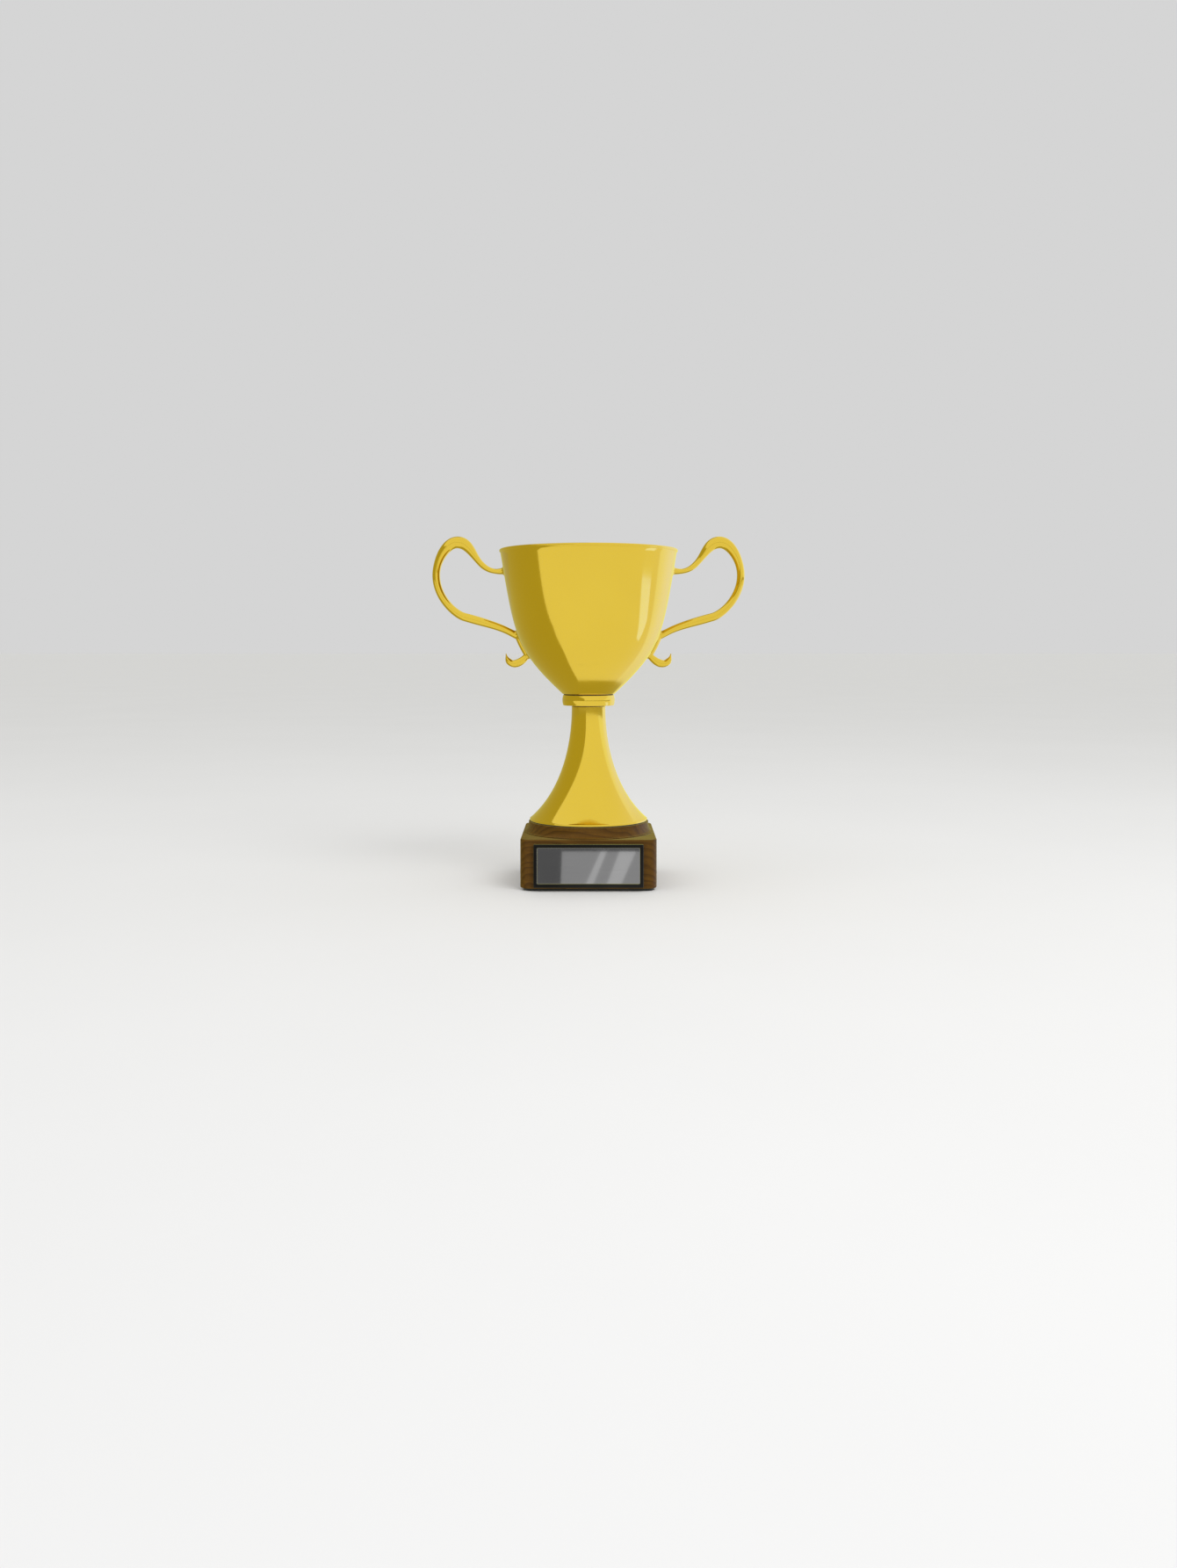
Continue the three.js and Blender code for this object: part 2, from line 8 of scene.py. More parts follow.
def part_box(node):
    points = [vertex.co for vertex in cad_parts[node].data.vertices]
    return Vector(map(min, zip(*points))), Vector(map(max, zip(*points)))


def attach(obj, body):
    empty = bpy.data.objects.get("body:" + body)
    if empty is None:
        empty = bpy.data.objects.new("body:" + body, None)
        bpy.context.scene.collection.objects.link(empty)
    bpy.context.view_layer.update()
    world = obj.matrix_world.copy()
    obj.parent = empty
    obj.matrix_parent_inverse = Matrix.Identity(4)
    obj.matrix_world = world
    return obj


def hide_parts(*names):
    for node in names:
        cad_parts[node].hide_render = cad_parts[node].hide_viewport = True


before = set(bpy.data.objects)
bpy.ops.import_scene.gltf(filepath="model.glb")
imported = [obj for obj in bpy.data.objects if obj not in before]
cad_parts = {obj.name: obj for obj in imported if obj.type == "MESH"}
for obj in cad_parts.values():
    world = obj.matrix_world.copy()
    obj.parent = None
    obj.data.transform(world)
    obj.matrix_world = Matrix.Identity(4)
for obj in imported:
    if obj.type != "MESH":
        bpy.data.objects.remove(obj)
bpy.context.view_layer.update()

MM = 0.001
ROOT = "root"


def low(node, axis):
    """A CAD node's lowest coordinate along an axis, in millimetres."""
    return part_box(node)[0]["xyz".index(axis)] / MM


def high(node, axis):
    """A CAD node's highest coordinate along an axis, in millimetres."""
    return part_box(node)[1]["xyz".index(axis)] / MM


def levels(node):
    """A CAD node's bottom and top, in millimetres."""
    return low(node, "z"), high(node, "z")


# ---- Levels and sizes taken from the frame ----

block_bottom, block_top = levels("plinth_block")
block_half = high("plinth_block", "x")
shoulder_top = high("plinth_shoulder", "z")
stem_foot, stem_top = levels("stem_shell")
stem_foot_radius = high("stem_shell", "x")
collar_bottom, collar_top = levels("neck_collar")
collar_radius = high("neck_collar", "x")
cup_bottom = low("cup_bowl", "z")
cup_reach = high("cup_bowl", "x")
plate_front = low("plaque_plate", "y")
plate_middle = sum(levels("plaque_plate")) / 2

# ---- Sizes that the boxes don't give ----

block_corner = 9.0
block_edge = 1.0
felt_corner = block_corner - 2
felt_edge = 0.35
shoulder_lip = 0.8
shoulder_foot_radius = block_half - block_edge
shoulder_top_radius = stem_foot_radius + 1.0
cove_foot_pull = 2.2
cove_top_pull = 4.6

plate_corner = 0.8

stem_wall = 1.5
stem_land = 1.2
stem_neck_radius = 14.6
stem_sweep = 26.0
stem_foot_rise = 22.5
stem_neck_rise = 60.5
stem_lip_width = 6.0
stem_top_thickness = 3.0

collar_bulge = 0.6
relief_radius = 16.0
relief_depth = 3.0

cup_wall = 1.2
cup_rim_radius = 77.0
rim_level = cup_bottom + 124.4
cup_flat_radius = 22.5
cup_belly = (63.7, 38.4)
cup_shoulder = (64.4, 49.3)
cup_floor = cup_bottom + cup_wall

rod_radius = 3.0
rod_bore = rod_radius + 0.3
hole_radius = 3.5
screw_radius = 1.5
screw_gap = 0.3
across_flats = 10.0

camera_distance = 1150.0
camera_height = 201.0

turned_sides = 256
small_sides = 96


# ---- Outlines ----

def curve_points(start, pull_start, pull_end, end, steps):
    """A cubic Bezier curve as an array of points."""
    t = np.linspace(0, 1, steps + 1)[:, None]
    p0, p1, p2, p3 = (np.array(p, float) for p in (start, pull_start, pull_end, end))
    return (1 - t) ** 3 * p0 + 3 * (1 - t) ** 2 * t * p1 + 3 * (1 - t) * t ** 2 * p2 + t ** 3 * p3


def unit(vectors):
    """A vector, or each of several, at a length of 1."""
    return vectors / np.linalg.norm(vectors, axis=-1, keepdims=True)


def right_of(points, distance):
    """A flat curve moved sideways: a positive distance goes to the right of its direction."""
    along = unit(np.gradient(points, axis=0))
    return points + distance * np.stack([along[:, 1], -along[:, 0]], axis=1)


def arc_points(centre, radius, start, end, steps):
    """Points on an arc between two angles in degrees."""
    angles = np.radians(np.linspace(start, end, steps + 1))
    return np.array(centre) + radius * np.stack([np.cos(angles), np.sin(angles)], axis=1)


def rounded(corners, steps):
    """A closed outline of straight lines. A corner is (across, up), with a radius if it's rounded."""
    points = []
    for i, (across, up, *radius) in enumerate(corners):
        here = np.array((across, up), float)
        if not radius:
            points.append(here)
            continue
        radius = radius[0]
        before = unit(np.array(corners[i - 1][:2], float) - here)
        after = unit(np.array(corners[(i + 1) % len(corners)][:2], float) - here)
        half = math.acos(np.clip(before @ after, -1, 1)) / 2
        middle = unit(before + after)
        centre = here + middle * radius / math.sin(half)
        from_start = here + before * radius / math.tan(half) - centre
        from_end = here + after * radius / math.tan(half) - centre
        start = math.atan2(from_start[1], from_start[0])
        sweep = (math.atan2(from_end[1], from_end[0]) - start + math.pi) % (2 * math.pi) - math.pi
        for share in np.linspace(0, 1, steps + 1):
            angle = start + sweep * share
            points.append(centre + radius * np.array((math.cos(angle), math.sin(angle))))
    return points


# ---- Rings that meshes are lofted through ----

def full_turn(sides):
    """Directions all round, in radians."""
    return np.linspace(0, 2 * math.pi, sides, endpoint=False)


def ring_at(radii, angles, heights):
    """A ring of points at radii and angles round Z, at one height or each at its own."""
    return np.stack([radii * np.cos(angles), radii * np.sin(angles), np.full_like(angles, heights)], axis=1)


def circle(radius, level, sides=turned_sides):
    """A circle round Z."""
    return ring_at(radius, full_turn(sides), level)


def round_box(width, depth, corner, level):
    """A rectangle with round corners, as a ring on a level. Every call gives as many points."""
    arc_steps = 16
    side_steps = 16
    x, y = width / 2 - corner, depth / 2 - corner
    middles = [(x, y), (-x, y), (-x, -y), (x, -y)]
    arcs = [arc_points(middle, corner, 90 * i, 90 * (i + 1), arc_steps) for i, middle in enumerate(middles)]
    ring = []
    for arc, next_arc in zip(arcs, arcs[1:] + arcs[:1]):
        ring.extend(arc)
        for share in np.linspace(0, 1, side_steps + 1)[1:-1]:
            ring.append(arc[-1] + (next_arc[0] - arc[-1]) * share)
    return np.column_stack([ring, np.full(len(ring), level)])


def circle_like(ring, radius, level):
    """A circle whose points lie in the same directions as another ring's points."""
    return ring_at(radius, np.arctan2(ring[:, 1], ring[:, 0]), level)


def hexagon(width, level, limit=math.inf):
    """A hexagon as a ring, from its width over two flats. The limit is the radius of the cone that
    chamfers its corners there."""
    angles = full_turn(small_sides)
    off_flat = (angles + math.pi / 6) % (math.pi / 3) - math.pi / 6
    return ring_at(np.minimum(width / 2 / np.cos(off_flat), limit), angles, level)


# ---- Meshes ----

# The pieces that reflections show. The others would break up the bowl's broad light and shade.
mirrored_pieces = ("cup", "collar", "dome_nut")


def mesh_of(name, points, faces):
    """A mesh from points in millimetres."""
    mesh = bpy.data.meshes.new(name)
    mesh.from_pydata((np.asarray(points) * MM).tolist(), [], faces)
    return mesh


def link(name, data):
    """A new object in the scene."""
    thing = bpy.data.objects.new(name, data)
    bpy.context.scene.collection.objects.link(thing)
    return thing


def add_piece(name, points, faces, look, *nodes, sharp=35.0):
    """Makes a piece from points in millimetres, shades it smooth, and ties it to the frame."""
    mesh = mesh_of(name, points, faces)
    mesh.validate()
    finish_piece(name, mesh, look, *nodes, sharp=sharp)


def finish_piece(name, mesh, look, *nodes, sharp):
    """Makes a piece of a mesh whose edges are sharp past an angle in degrees. A look is a material
    and the name of a slot, which is not used."""
    material, slot = look
    mesh.shade_smooth()
    mesh.set_sharp_from_angle(angle=math.radians(sharp))
    mesh.materials.clear()
    mesh.materials.append(material)
    piece = link(name, mesh)
    weighted = piece.modifiers.new("weighted_normals", "WEIGHTED_NORMAL")
    weighted.keep_sharp = True
    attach(piece, ROOT)
    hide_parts(*nodes)
    piece.visible_glossy = name in mirrored_pieces


def loft(rings, closed):
    """Points and faces through rings of equal size. A closed loft joins its last ring to its first;
    an open one is capped at both ends, where a ring with no width becomes one point."""
    sides = len(rings[0])
    points = []
    index = []
    for ring in rings:
        if np.ptp(ring, axis=0).max() < 1e-6:
            index.append([len(points)] * sides)
            points.append(ring[0])
        else:
            index.append(list(range(len(points), len(points) + sides)))
            points.extend(ring)
    faces = []
    steps = len(rings) if closed else len(rings) - 1
    for i in range(steps):
        here, there = index[i], index[(i + 1) % len(rings)]
        for j in range(sides):
            k = (j + 1) % sides
            corners = [here[j], here[k], there[k], there[j]]
            face = [c for n, c in enumerate(corners) if c not in corners[:n]]
            if len(face) > 2:
                faces.append(face)
    if not closed:
        if index[0][0] != index[0][1]:
            faces.append(index[0][::-1])
        if index[-1][0] != index[-1][1]:
            faces.append(index[-1])
    return np.array(points), faces


def turned(corners, steps=6, sides=turned_sides):
    """A ring-shaped body of revolution about Z, from the corners of its outline: radius, level and
    rounding, anticlockwise with the radius to the right."""
    return loft([circle(radius, level, sides) for radius, level in rounded(corners, steps)], True)


def placed(points, matrix):
    """Points moved by a matrix."""
    return np.array([matrix @ Vector(p) for p in points])


# ---- Material tools ----

class Nodes:
    """A node tree, with short ways to add to it."""

    def __init__(self, tree):
        self.tree = tree

    def add(self, kind, **settings):
        node = self.tree.nodes.new(kind)
        for name, value in settings.items():
            setattr(node, name, value)
        return node

    def feed(self, socket, value):
        if isinstance(value, bpy.types.NodeSocket):
            self.tree.links.new(value, socket)
        else:
            socket.default_value = value

    def feed_all(self, node, **values):
        """Feeds a node's sockets by name, with _ for a space."""
        for name, value in values.items():
            self.feed(node.inputs[name.replace("_", " ")], value)

    def fed(self, kind, values, **settings):
        """A new node whose first sockets are fed, as its first output."""
        node = self.add(kind, **settings)
        for socket, value in zip(node.inputs, values):
            self.feed(socket, value)
        return node.outputs[0]

    def math(self, operation, *values):
        return self.fed("ShaderNodeMath", values, operation=operation)

    def plus(self, a, b):
        return self.math("ADD", a, b)

    def minus(self, a, b):
        return self.math("SUBTRACT", a, b)

    def times(self, a, b):
        return self.math("MULTIPLY", a, b)

    def squares(self, a, b):
        return self.plus(self.times(a, a), self.times(b, b))

    def scaled(self, vector, scale):
        return self.fed("ShaderNodeVectorMath", (vector, scale), operation="MULTIPLY")

    def parts(self, vector):
        node = self.add("ShaderNodeSeparateXYZ")
        self.feed(node.inputs[0], vector)
        return node.outputs

    def noise(self, vector, scale, detail=3.0, rough=0.55, distortion=0.0):
        node = self.add("ShaderNodeTexNoise")
        self.feed_all(node, Vector=vector, Scale=scale, Detail=detail)
        self.feed_all(node, Roughness=rough, Distortion=distortion)
        return node.outputs["Fac"]

    def ranged(self, value, from_low, from_high, to_low, to_high, kind="LINEAR"):
        values = (value, from_low, from_high, to_low, to_high)
        return self.fed("ShaderNodeMapRange", values, interpolation_type=kind)

    def rising(self, value, start, end):
        """0 before the start and 1 past the end, with a smooth step between."""
        return self.ranged(value, start, end, 0.0, 1.0, "SMOOTHSTEP")

    def falling(self, value, start, end):
        """1 before the start and 0 past the end."""
        return self.ranged(value, start, end, 1.0, 0.0, "SMOOTHSTEP")

    def mixed(self, share, first, second):
        node = self.add("ShaderNodeMix", data_type="RGBA")
        for place, value in ((0, share), (6, first), (7, second)):
            self.feed(node.inputs[place], value)
        return node.outputs[2]


class Shader(Nodes):
    """A procedural material: a Principled surface and the nodes that feed it."""

    def __init__(self, name, **fixed):
        self.material = bpy.data.materials.new(name)
        self.material.use_nodes = True
        super().__init__(self.material.node_tree)
        self.surface = self.tree.nodes["Principled BSDF"]
        self.feed_all(self.surface, **fixed)
        self.place = self.add("ShaderNodeTexCoord").outputs["Object"]

    def bump(self, height, depth, **under):
        """Relief of a real depth in metres for a height from 0 to 1, on top of another's Normal."""
        node = self.add("ShaderNodeBump")
        self.feed_all(node, Strength=1.0, Distance=depth, Height=height, **under)
        return node.outputs[0]

    def finished(self, colour, roughness, relief):
        self.feed_all(self.surface, Base_Color=colour, Roughness=roughness, Normal=relief)
        return self.material


def rgb(red, green, blue):
    return (red, green, blue, 1.0)


def grey(value):
    return rgb(value, value, value)


# ---- Materials ----

gold_main = rgb(0.745, 0.530, 0.046)
gold_deep = rgb(0.700, 0.485, 0.038)
# Painted shade: the dark brown gold that crevices and joins between parts are darkened towards
gold_crevice_shade = rgb(0.330, 0.200, 0.018)


def gold_material(name, turned_on_z):
    """Polished lacquered brass with smudges and hairlines, and spin marks on the turned pieces."""
    crevice_shade_reach = 0.005
    hairline_depth = 0.0000015
    spin_mark_depth = 0.000012
    gold = Shader(name, Metallic=1.0, Coat_Weight=0.5, Coat_Roughness=0.04, Coat_IOR=1.5)
    smudge = gold.noise(gold.place, 34.0, 4.0, 0.6, 0.4)
    tone = gold.noise(gold.place, 11.0, 3.0, 0.5, 0.2)
    colour = gold.mixed(gold.ranged(tone, 0.35, 0.7, 0.0, 0.55), gold_main, gold_deep)
    # Painted shade: ambient occlusion darkens the colour in crevices, under the collar and at joins between
    # parts
    corners = gold.add("ShaderNodeAmbientOcclusion", samples=8)
    gold.feed_all(corners, Distance=crevice_shade_reach)
    crevice_shade = gold.ranged(corners.outputs["AO"], 0.35, 0.85, 0.75, 0.0, "SMOOTHSTEP")
    colour = gold.mixed(crevice_shade, colour, gold_crevice_shade)
    if turned_on_z:
        x, y, z = gold.parts(gold.place)
        radius = gold.math("POWER", gold.squares(x, y), 0.5)
        around = gold.times(gold.math("ARCTAN2", x, y), 0.004)
        spun = gold.fed("ShaderNodeCombineXYZ", (radius, z, around))
        hairline = gold.noise(spun, 2600.0, 2.0, 0.6)
        spin_marks = gold.noise(spun, 260.0, 1.0, 0.4)
        relief = gold.bump(spin_marks, spin_mark_depth, Normal=gold.bump(hairline, hairline_depth))
    else:
        hairline = gold.noise(gold.scaled(gold.place, (900.0, 900.0, 60.0)), 1.0, 2.0, 0.6)
        relief = gold.bump(hairline, hairline_depth)
    smeared = gold.ranged(smudge, 0.3, 0.75, 0.06, 0.11)
    roughness = gold.plus(smeared, gold.ranged(hairline, 0.3, 0.7, -0.01, 0.02))
    return gold.finished(colour, roughness, relief)


def steel_material():
    """Bright zinc-plated steel for the fasteners."""
    steel = Shader("steel", Metallic=1.0)
    mottle = steel.noise(steel.place, 900.0, 3.0)
    colour = steel.mixed(mottle, rgb(0.50, 0.51, 0.52), rgb(0.62, 0.62, 0.60))
    return steel.finished(colour, steel.ranged(mottle, 0.3, 0.7, 0.24, 0.4), steel.bump(mottle, 0.00001))


def wood_material(name, pith_height):
    """Dark stained hardwood with its grain along X: growth rings round a pith line that runs before
    the plinth and below it, pores along the grain, and a satin lacquer."""
    pith_forward = 0.115
    rings_per_metre = 210.0
    wood = Shader(name, Coat_Weight=0.1, Coat_Roughness=0.12, Coat_IOR=1.5, Specular_IOR_Level=0.08)

    def grained(along, across, detail, rough=0.55, distortion=0.0):
        """Noise with one scale along the grain and another across it."""
        stretched = wood.scaled(wood.place, (along, across, across))
        return wood.noise(stretched, 1.0, detail, rough, distortion)

    _, y, z = wood.parts(wood.place)
    drift = wood.times(wood.minus(grained(5.0, 16.0, 3.0, 0.5), 0.5), 0.03)
    off_y = wood.plus(wood.plus(y, pith_forward), drift)
    off_z = wood.plus(wood.minus(z, pith_height), drift)
    distance = wood.math("POWER", wood.squares(off_y, off_z), 0.5)
    late = wood.rising(wood.math("FRACT", wood.times(distance, rings_per_metre)), 0.35, 1.0)
    streaks = grained(14.0, 420.0, 4.0, 0.6, 0.3)
    pores = wood.rising(grained(120.0, 1900.0, 2.0, 0.5), 0.62, 0.72)
    cloud = wood.ranged(grained(9.0, 22.0, 2.0), 0.3, 0.7, 0.0, 1.0)
    colour = wood.mixed(cloud, rgb(0.126, 0.057, 0.005), rgb(0.102, 0.045, 0.003))
    colour = wood.mixed(wood.times(late, 0.75), colour, rgb(0.055, 0.023, 0.0015))
    colour = wood.mixed(wood.ranged(streaks, 0.35, 0.75, 0.0, 0.6), colour, rgb(0.061, 0.026, 0.002))
    colour = wood.mixed(wood.times(pores, 0.7), colour, rgb(0.030, 0.011, 0.002))
    height = wood.minus(wood.times(streaks, 0.4), wood.times(pores, 0.6))
    return wood.finished(colour, wood.ranged(streaks, 0.3, 0.7, 0.34, 0.5), wood.bump(height, 0.00005))


def plate_material():
    """Grey nickelled plate, brushed along X."""
    plate = Shader("plate_metal", Metallic=1.0)
    brushed = plate.noise(plate.scaled(plate.place, (22.0, 2800.0, 2800.0)), 1.0, 3.0, 0.6)
    cloud = plate.noise(plate.place, 26.0, 3.0)
    colour = plate.mixed(brushed, rgb(0.335, 0.335, 0.338), rgb(0.395, 0.393, 0.393))
    return plate.finished(colour, plate.ranged(cloud, 0.3, 0.7, 0.11, 0.17), plate.bump(brushed, 0.0000012))


def frame_material():
    """Black enamel, faintly rippled, with rubbed patches."""
    black = Shader("frame_black", Coat_Weight=0.08, Coat_Roughness=0.1, Specular_IOR_Level=0.2)
    ripple = black.noise(black.place, 420.0, 3.0)
    worn = black.noise(black.place, 60.0, 4.0)
    colour = black.mixed(worn, rgb(0.0012, 0.0012, 0.0014), rgb(0.003, 0.0028, 0.0028))
    return black.finished(colour, black.ranged(worn, 0.3, 0.7, 0.3, 0.42), black.bump(ripple, 0.00003))


def felt_material():
    """Pressed wool felt: matted fibres and a soft sheen."""
    felt = Shader("felt", Sheen_Weight=0.5, Sheen_Roughness=0.5)
    fibres = felt.noise(felt.place, 1400.0, 4.0, 0.7, 1.5)
    clumps = felt.noise(felt.place, 240.0, 3.0)
    colour = felt.mixed(fibres, rgb(0.006, 0.008, 0.008), rgb(0.02, 0.023, 0.022))
    relief = felt.bump(felt.plus(fibres, clumps), 0.0002)
    return felt.finished(colour, felt.ranged(clumps, 0.3, 0.7, 0.88, 1.0), relief)


def fibre_material():
    """Vulcanised fibre for the gasket and washers."""
    fibre = Shader("fibre")
    speck = fibre.noise(fibre.place, 1500.0, 3.0)
    colour = fibre.mixed(speck, rgb(0.012, 0.009, 0.007), rgb(0.03, 0.022, 0.016))
    return fibre.finished(colour, fibre.ranged(speck, 0.3, 0.7, 0.6, 0.8), fibre.bump(speck, 0.00003))


def tape_material():
    """White foam tape with a fine closed-cell surface."""
    tape = Shader("tape")
    cells = tape.add("ShaderNodeTexVoronoi")
    tape.feed_all(cells, Vector=tape.place, Scale=2600.0)
    height = cells.outputs["Distance"]
    colour = tape.mixed(height, rgb(0.70, 0.68, 0.62), rgb(0.8, 0.79, 0.74))
    return tape.finished(colour, tape.ranged(height, 0.0, 0.6, 0.62, 0.8), tape.bump(height, 0.00004))


turned_gold = (gold_material("gold_turned", True), "gold_metal")
cast_gold = (gold_material("gold_cast", False), "gold_metal")
steel_look = (steel_material(), "steel")
block_wood = (wood_material("wood_block", -0.055), "wood")
shoulder_wood = (wood_material("wood_shoulder", -0.035), "wood")
plate_look = (plate_material(), "plate_metal")
black_look = (frame_material(), "frame_black")
felt_look = (felt_material(), "felt")
fibre_look = (fibre_material(), "fibre")
tape_look = (tape_material(), "tape")


# ---- Plinth ----

def rounded_top(edge, top, steps=6):
    """Insets and levels up the quarter round at a body's top edge."""
    angles = np.radians(np.linspace(0, 90, steps + 1))
    return [(edge * (1 - math.cos(angle)), top - edge * (1 - math.sin(angle))) for angle in angles]


def edge_rings(width, depth, corner, bottom, top, edge):
    """Rings up the side of a round-cornered block whose top and bottom edges are rounded."""
    upper = rounded_top(edge, top)
    lower = [(inset, bottom + top - level) for inset, level in reversed(upper)]
    return [
        round_box(width - 2 * inset, depth - 2 * inset, corner - inset, level)
        for inset, level in lower + upper
    ]


def make_block():
    """The block, with the rod's hole and the counterbore under it for the nut."""
    counterbore_radius = 13.0
    counterbore_top = high("base_washer", "z")
    width = 2 * block_half
    rings = edge_rings(width, width, block_corner, block_bottom, block_top, block_edge)
    side = rings[-1]
    for radius, level in (
        (hole_radius, block_top), (hole_radius, counterbore_top),
        (counterbore_radius, counterbore_top), (counterbore_radius, block_bottom),
    ):
        rings.append(circle_like(side, radius, level))
    add_piece("block", *loft(rings, True), block_wood, "plinth_block")


def make_shoulder():
    """A turned shoulder: a thin lip on the block, then a cove that rises to the stem's foot."""
    lip_top = block_top + shoulder_lip
    lip_round = 0.35
    cove = curve_points(
        (shoulder_foot_radius - 0.5, lip_top),
        (shoulder_foot_radius - cove_foot_pull, lip_top),
        (shoulder_top_radius, shoulder_top - cove_top_pull),
        (shoulder_top_radius, shoulder_top - 0.5),
        28,
    )
    corners = [
        (hole_radius, block_top),
        (shoulder_foot_radius, block_top, 0.12),
        (shoulder_foot_radius, lip_top, lip_round),
        *cove,
        (shoulder_top_radius, shoulder_top, 0.4),
        (hole_radius, shoulder_top),
    ]
    add_piece("shoulder", *turned(corners), shoulder_wood, "plinth_shoulder")


def make_felt():
    """The felt sheet, with a slightly ragged cut edge."""
    width = 2 * high("base_felt", "x")
    raggedness = 0.0025
    rings = edge_rings(width, width, felt_corner, 0, high("base_felt", "z"), felt_edge)
    random = np.random.default_rng(7)
    ragged = []
    for ring in rings:
        pull = 1 - random.uniform(0, raggedness, len(ring))[:, None]
        ragged.append(ring * np.hstack([pull, pull, np.ones_like(pull)]))
    add_piece("felt_sheet", *loft(ragged, False), felt_look, "base_felt", sharp=60)


# ---- Nameplate ----

def stood_up(rings, front_of_block):
    """Turns flat rings up to face -Y. Their level becomes the distance in front of the block."""
    return [
        np.stack([ring[:, 0], front_of_block - ring[:, 2], ring[:, 1] + plate_middle], axis=1)
        for ring in rings
    ]


def sheet_size(node):
    """A CAD node's width, height and depth, as seen from -Y."""
    return [high(node, axis) - low(node, axis) for axis in "xzy"]


def make_sheet(name, node, edge, look):
    """A flat sheet that fills a CAD node's box on the plinth's front."""
    width, height, depth = sheet_size(node)
    rings = edge_rings(width, height, plate_corner, 0, depth, edge)
    points, faces = loft(stood_up(rings, high(node, "y")), False)
    add_piece(name, points, faces, look, node)


def make_frame():
    """The frame's moulding: a flat face with a rounded outer edge and a chamfer down to the plate."""
    width, height, depth = sheet_size("plaque_frame")
    bar = 2.9
    outer_round = 0.5
    chamfer_width = 0.75
    chamfer_depth = 0.8
    soft_width = 0.13
    tightening = 0.2
    section = [(0.0, 0.0)] + rounded_top(outer_round, depth) + [
        (bar - chamfer_width, depth),
        (bar - chamfer_width + soft_width, depth - 0.04),
        (bar - 0.12, depth - 0.62),
        (bar, depth - chamfer_depth),
        (bar, 0.0),
    ]
    rings = []
    for inset, level in section:
        corner = plate_corner if inset > 1 else plate_corner - tightening * inset
        rings.append(round_box(width - 2 * inset, height - 2 * inset, corner, level))
    points, faces = loft(stood_up(rings, high("plaque_frame", "y")), True)
    add_piece("frame_moulding", points, faces, black_look, "plaque_frame")


# ---- Stem and collar ----

def make_stem():
    """A hollow spun trumpet with a flat top and a lip turned in under its foot."""
    land_top = stem_foot + stem_land
    trumpet = curve_points(
        (stem_foot_radius, land_top),
        (stem_foot_radius - stem_sweep, land_top + stem_foot_rise),
        (stem_neck_radius, land_top + stem_neck_rise),
        (stem_neck_radius, stem_top - 0.6),
        96,
    )
    inside = right_of(trumpet, -stem_wall)
    inner_top = stem_top - stem_top_thickness
    lip_top = stem_foot + stem_wall
    lip_radius = stem_foot_radius - stem_lip_width
    inner_wall = [(r, z) for r, z in inside[::-1] if lip_top + 0.6 < z < inner_top - 0.6]
    foot_inside = float(np.interp(lip_top, inside[:, 1], inside[:, 0]))
    neck_inside = float(np.interp(inner_top, inside[:, 1], inside[:, 0]))
    corners = [
        (lip_radius, stem_foot, 0.3),
        (stem_foot_radius, stem_foot, 0.4),
        (stem_foot_radius, land_top + 0.25, 0.45),
        *trumpet[1:],
        (stem_neck_radius, stem_top, 0.3),
        (hole_radius, stem_top),
        (hole_radius, inner_top),
        (neck_inside, inner_top),
        *inner_wall,
        (foot_inside, lip_top),
        (lip_radius, lip_top, 0.3),
    ]
    add_piece("stem", *turned(corners), turned_gold, "stem_shell")


def make_collar():
    """A turned barrel with rounded edges and a relief under the cup."""
    end_radius = collar_radius - collar_bulge
    edge = 0.55
    middle = (collar_bottom + collar_top) / 2
    side = curve_points(
        (end_radius, collar_bottom + edge + 0.1),
        (collar_radius + collar_bulge / 3, middle - 1.6),
        (collar_radius + collar_bulge / 3, middle + 1.6),
        (end_radius, collar_top - edge - 0.1),
        24,
    )
    corners = [
        (hole_radius, collar_bottom),
        (end_radius - 0.05, collar_bottom, edge * 0.8),
        *[(min(r, collar_radius), z) for r, z in side],
        (end_radius - 0.05, collar_top, edge * 0.8),
        (relief_radius, collar_top, 0.2),
        (relief_radius, collar_top - relief_depth, 0.3),
        (hole_radius, collar_top - relief_depth),
    ]
    add_piece("collar", *turned(corners), turned_gold, "neck_collar")


def make_ring(name, node, inner, look, edge=0.15, sides=turned_sides):
    """A flat ring on the axis that fills a CAD node's box."""
    outer = high(node, "x")
    bottom, top = levels(node)
    corners = [(inner, bottom, edge), (outer, bottom, edge), (outer, top, edge), (inner, top, edge)]
    add_piece(name, *turned(corners, 4, sides), look, node)


# ---- Cup ----

cup_outside = curve_points(
    (cup_flat_radius, cup_bottom),
    (cup_belly[0], cup_bottom + cup_belly[1]),
    (cup_shoulder[0], cup_bottom + cup_shoulder[1]),
    (cup_rim_radius, rim_level),
    110,
)
cup_inside = right_of(cup_outside, -cup_wall)
bead_middle = (cup_outside[-1] + cup_inside[-1]) / 2
bead_radius = cup_reach - bead_middle[0]


def wall_radius(level):
    """The radius of the cup's outside at a level."""
    return np.interp(level, cup_outside[:, 1], cup_outside[:, 0])


def wall_lean(level):
    """The radius and height parts of the wall's outward direction at a level."""
    rise = 1.0
    change = wall_radius(level + rise) - wall_radius(level - rise)
    length = np.hypot(2 * rise, change)
    return 2 * rise / length, -change / length


